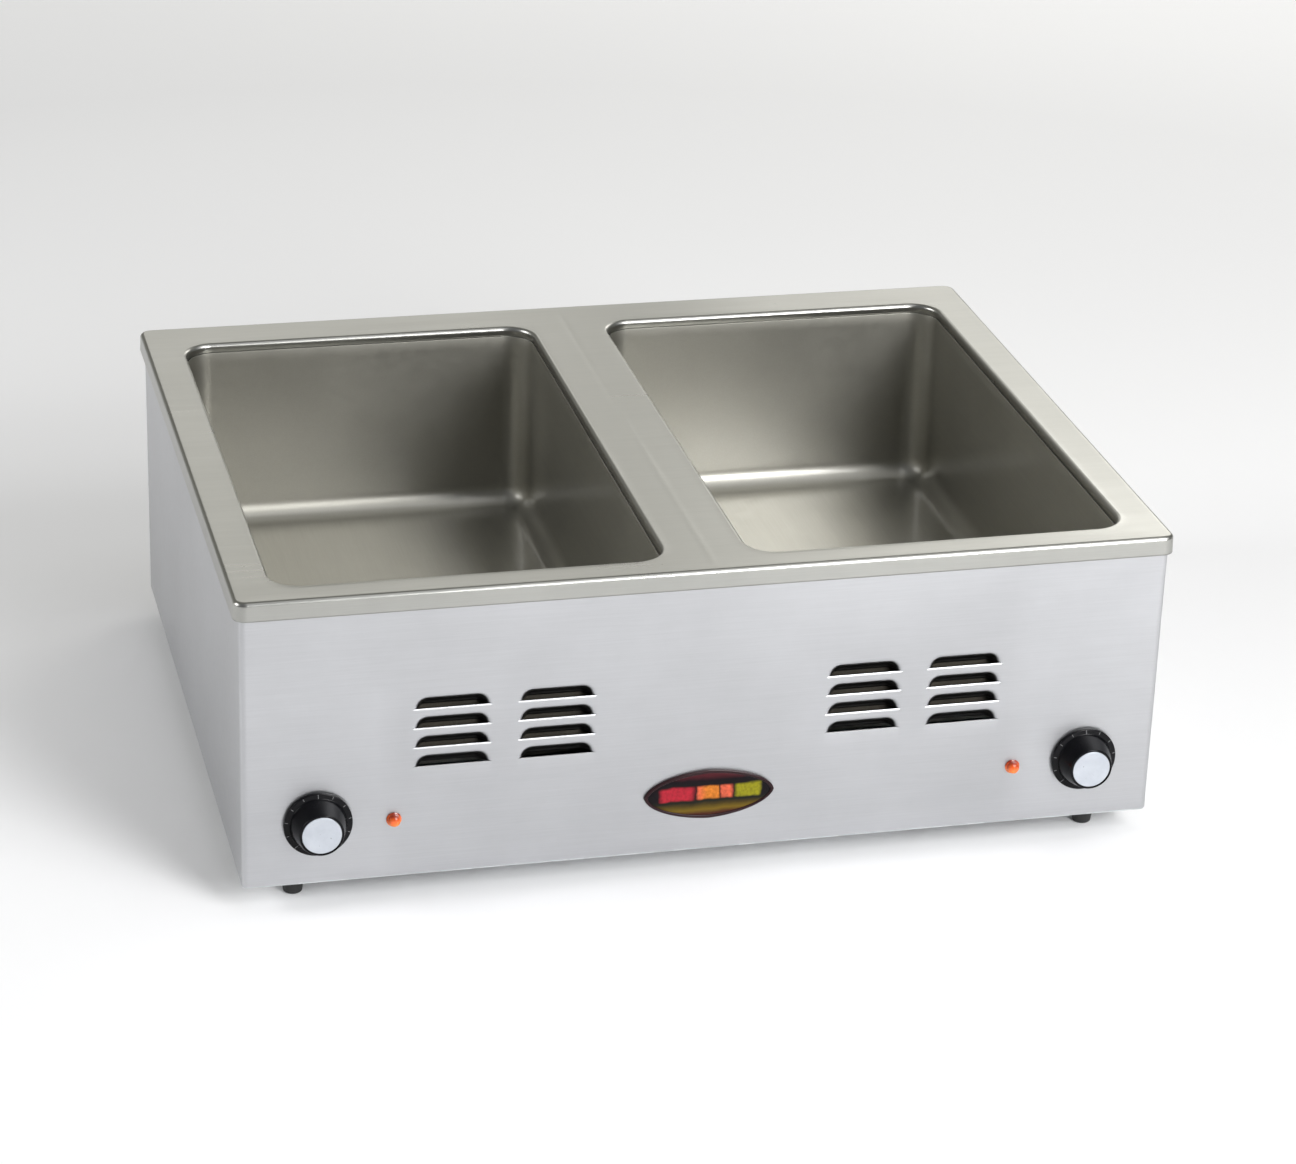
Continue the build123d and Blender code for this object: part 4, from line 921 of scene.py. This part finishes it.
# ------------------------------------------------------------------ floor, light and camera
def build_floor():
    """Pale floor that glows softly far from the object, so that it stays pale out to the horizon."""
    half = 9.0
    verts = [(-half, -half, 0.0), (half, -half, 0.0), (half, half, 0.0), (-half, half, 0.0)]
    shader = Shader("pale_floor", base_color=(0.93, 0.93, 0.935, 1.0), roughness=0.9)
    tone = shader.noise((0.6, 0.6, 0.6), detail=2.0)
    colours = [(0.3, (0.925, 0.925, 0.935)), (0.7, (0.945, 0.945, 0.95))]
    shader.link(shader.ramp(tone, colours), shader.bsdf.inputs["Base Color"])
    distance = shader.node("ShaderNodeVectorMath", operation="LENGTH")
    shader.link(shader.coords.outputs["Object"], distance.inputs[0])
    glow = shader.ranged(distance.outputs["Value"], 0.0, 0.5, from_low=1.8, from_high=5.0)
    shader.bsdf.inputs["Emission Color"].default_value = (1.0, 1.0, 1.0, 1.0)
    shader.link(glow, shader.bsdf.inputs["Emission Strength"])
    floor = add_object("studio_floor", verts, [(0, 1, 2, 3)], shader.material, smooth=False)


LIGHT_TARGET = Vector((0.0, 0.0, 0.15))
WHITE = (1.0, 1.0, 1.0)
WARM = (1.0, 0.985, 0.95)


def add_softbox(name, place_at, width, height, power, colour=WHITE):
    """Rectangular light of the given size and power in watts, aimed at LIGHT_TARGET."""
    data = bpy.data.lights.new(name, "AREA")
    data.shape = "RECTANGLE"
    data.size = width
    data.size_y = height
    data.energy = power
    data.color = colour
    obj = bpy.data.objects.new(name, data)
    scene.collection.objects.link(obj)
    obj.location = place_at
    direction = LIGHT_TARGET - Vector(place_at)
    obj.rotation_euler = direction.to_track_quat("-Z", "Y").to_euler()


CAMERA_AT = (-0.7198, -2.8772, 1.4623)
CAMERA_ANGLES = (14.401, -24.308, 1.862)    # turn to the right, tilt upwards and roll, in degrees
FOCAL_LENGTH = 108.4083     # millimetres, on a sensor 36 wide


def build_camera():
    """Camera turned to the right of straight ahead, tilted down, and rolled slightly."""
    azimuth, elevation, roll = (math.radians(angle) for angle in CAMERA_ANGLES)
    forward = Vector((math.sin(azimuth) * math.cos(elevation), math.cos(azimuth) * math.cos(elevation),
                      math.sin(elevation)))
    right = forward.cross(Vector((0, 0, 1))).normalized()
    up = right.cross(forward)
    turned_right = right * math.cos(roll) + up * math.sin(roll)
    turned_up = turned_right.cross(forward)
    rotation = Matrix((turned_right, turned_up, -forward)).transposed().to_4x4()
    data = bpy.data.cameras.new("photo_camera")
    data.sensor_width = 36.0
    data.lens = FOCAL_LENGTH
    data.clip_end = 100.0
    obj = bpy.data.objects.new("photo_camera", data)
    scene.collection.objects.link(obj)
    obj.matrix_world = Matrix.Translation(CAMERA_AT) @ rotation
    scene.camera = obj


build_floor()
add_softbox("front_key", (1.32, -3.07, 1.50), 1.3, 1.2, 86.0)
add_softbox("high_key", (1.50, -2.41, 2.37), 1.5, 1.3, 44.0)
add_softbox("right_softbox", (2.39, -2.00, 1.95), 1.5, 1.3, 8.0)
add_softbox("left_softbox", (-3.20, 0.20, 1.60), 1.5, 1.5, 52.0)
add_softbox("back_right_softbox", (2.13, 2.36, 1.84), 1.4, 1.3, 15.5, WARM)
add_softbox("back_left_softbox", (0.20, 3.28, 1.70), 1.2, 1.3, 5.2, WARM)
add_softbox("back_softbox", (1.36, 3.01, 1.61), 1.0, 1.2, 5.8, WARM)
add_softbox("top_softbox", (0.90, -0.90, 3.20), 2.2, 2.0, 15.0)


def build_world():
    """Soft surround: dimmer and cooler in front, brighter and warmer behind."""
    world = bpy.data.worlds.new("studio_world")
    world.use_nodes = True
    tree = world.node_tree
    background = tree.nodes["Background"]
    coords = tree.nodes.new("ShaderNodeTexCoord")
    split = tree.nodes.new("ShaderNodeSeparateXYZ")
    tree.links.new(coords.outputs["Generated"], split.inputs[0])
    level = tree.nodes.new("ShaderNodeMapRange")
    level.inputs["From Min"].default_value = -1.0
    level.inputs["From Max"].default_value = 1.0
    level.inputs["To Min"].default_value = 0.15
    level.inputs["To Max"].default_value = 0.30
    tree.links.new(split.outputs["Y"], level.inputs["Value"])
    tree.links.new(level.outputs["Result"], background.inputs["Strength"])
    ramp = tree.nodes.new("ShaderNodeValToRGB")
    ramp.color_ramp.elements[0].position = 0.3
    ramp.color_ramp.elements[0].color = (0.92, 0.95, 1.0, 1.0)
    ramp.color_ramp.elements[1].position = 0.7
    ramp.color_ramp.elements[1].color = (1.0, 0.99, 0.90, 1.0)
    turned_y = tree.nodes.new("ShaderNodeMapRange")
    turned_y.inputs["From Min"].default_value = -1.0
    tree.links.new(split.outputs["Y"], turned_y.inputs["Value"])
    tree.links.new(turned_y.outputs["Result"], ramp.inputs["Fac"])
    tree.links.new(ramp.outputs["Color"], background.inputs["Color"])
    scene.world = world


build_world()
build_camera()
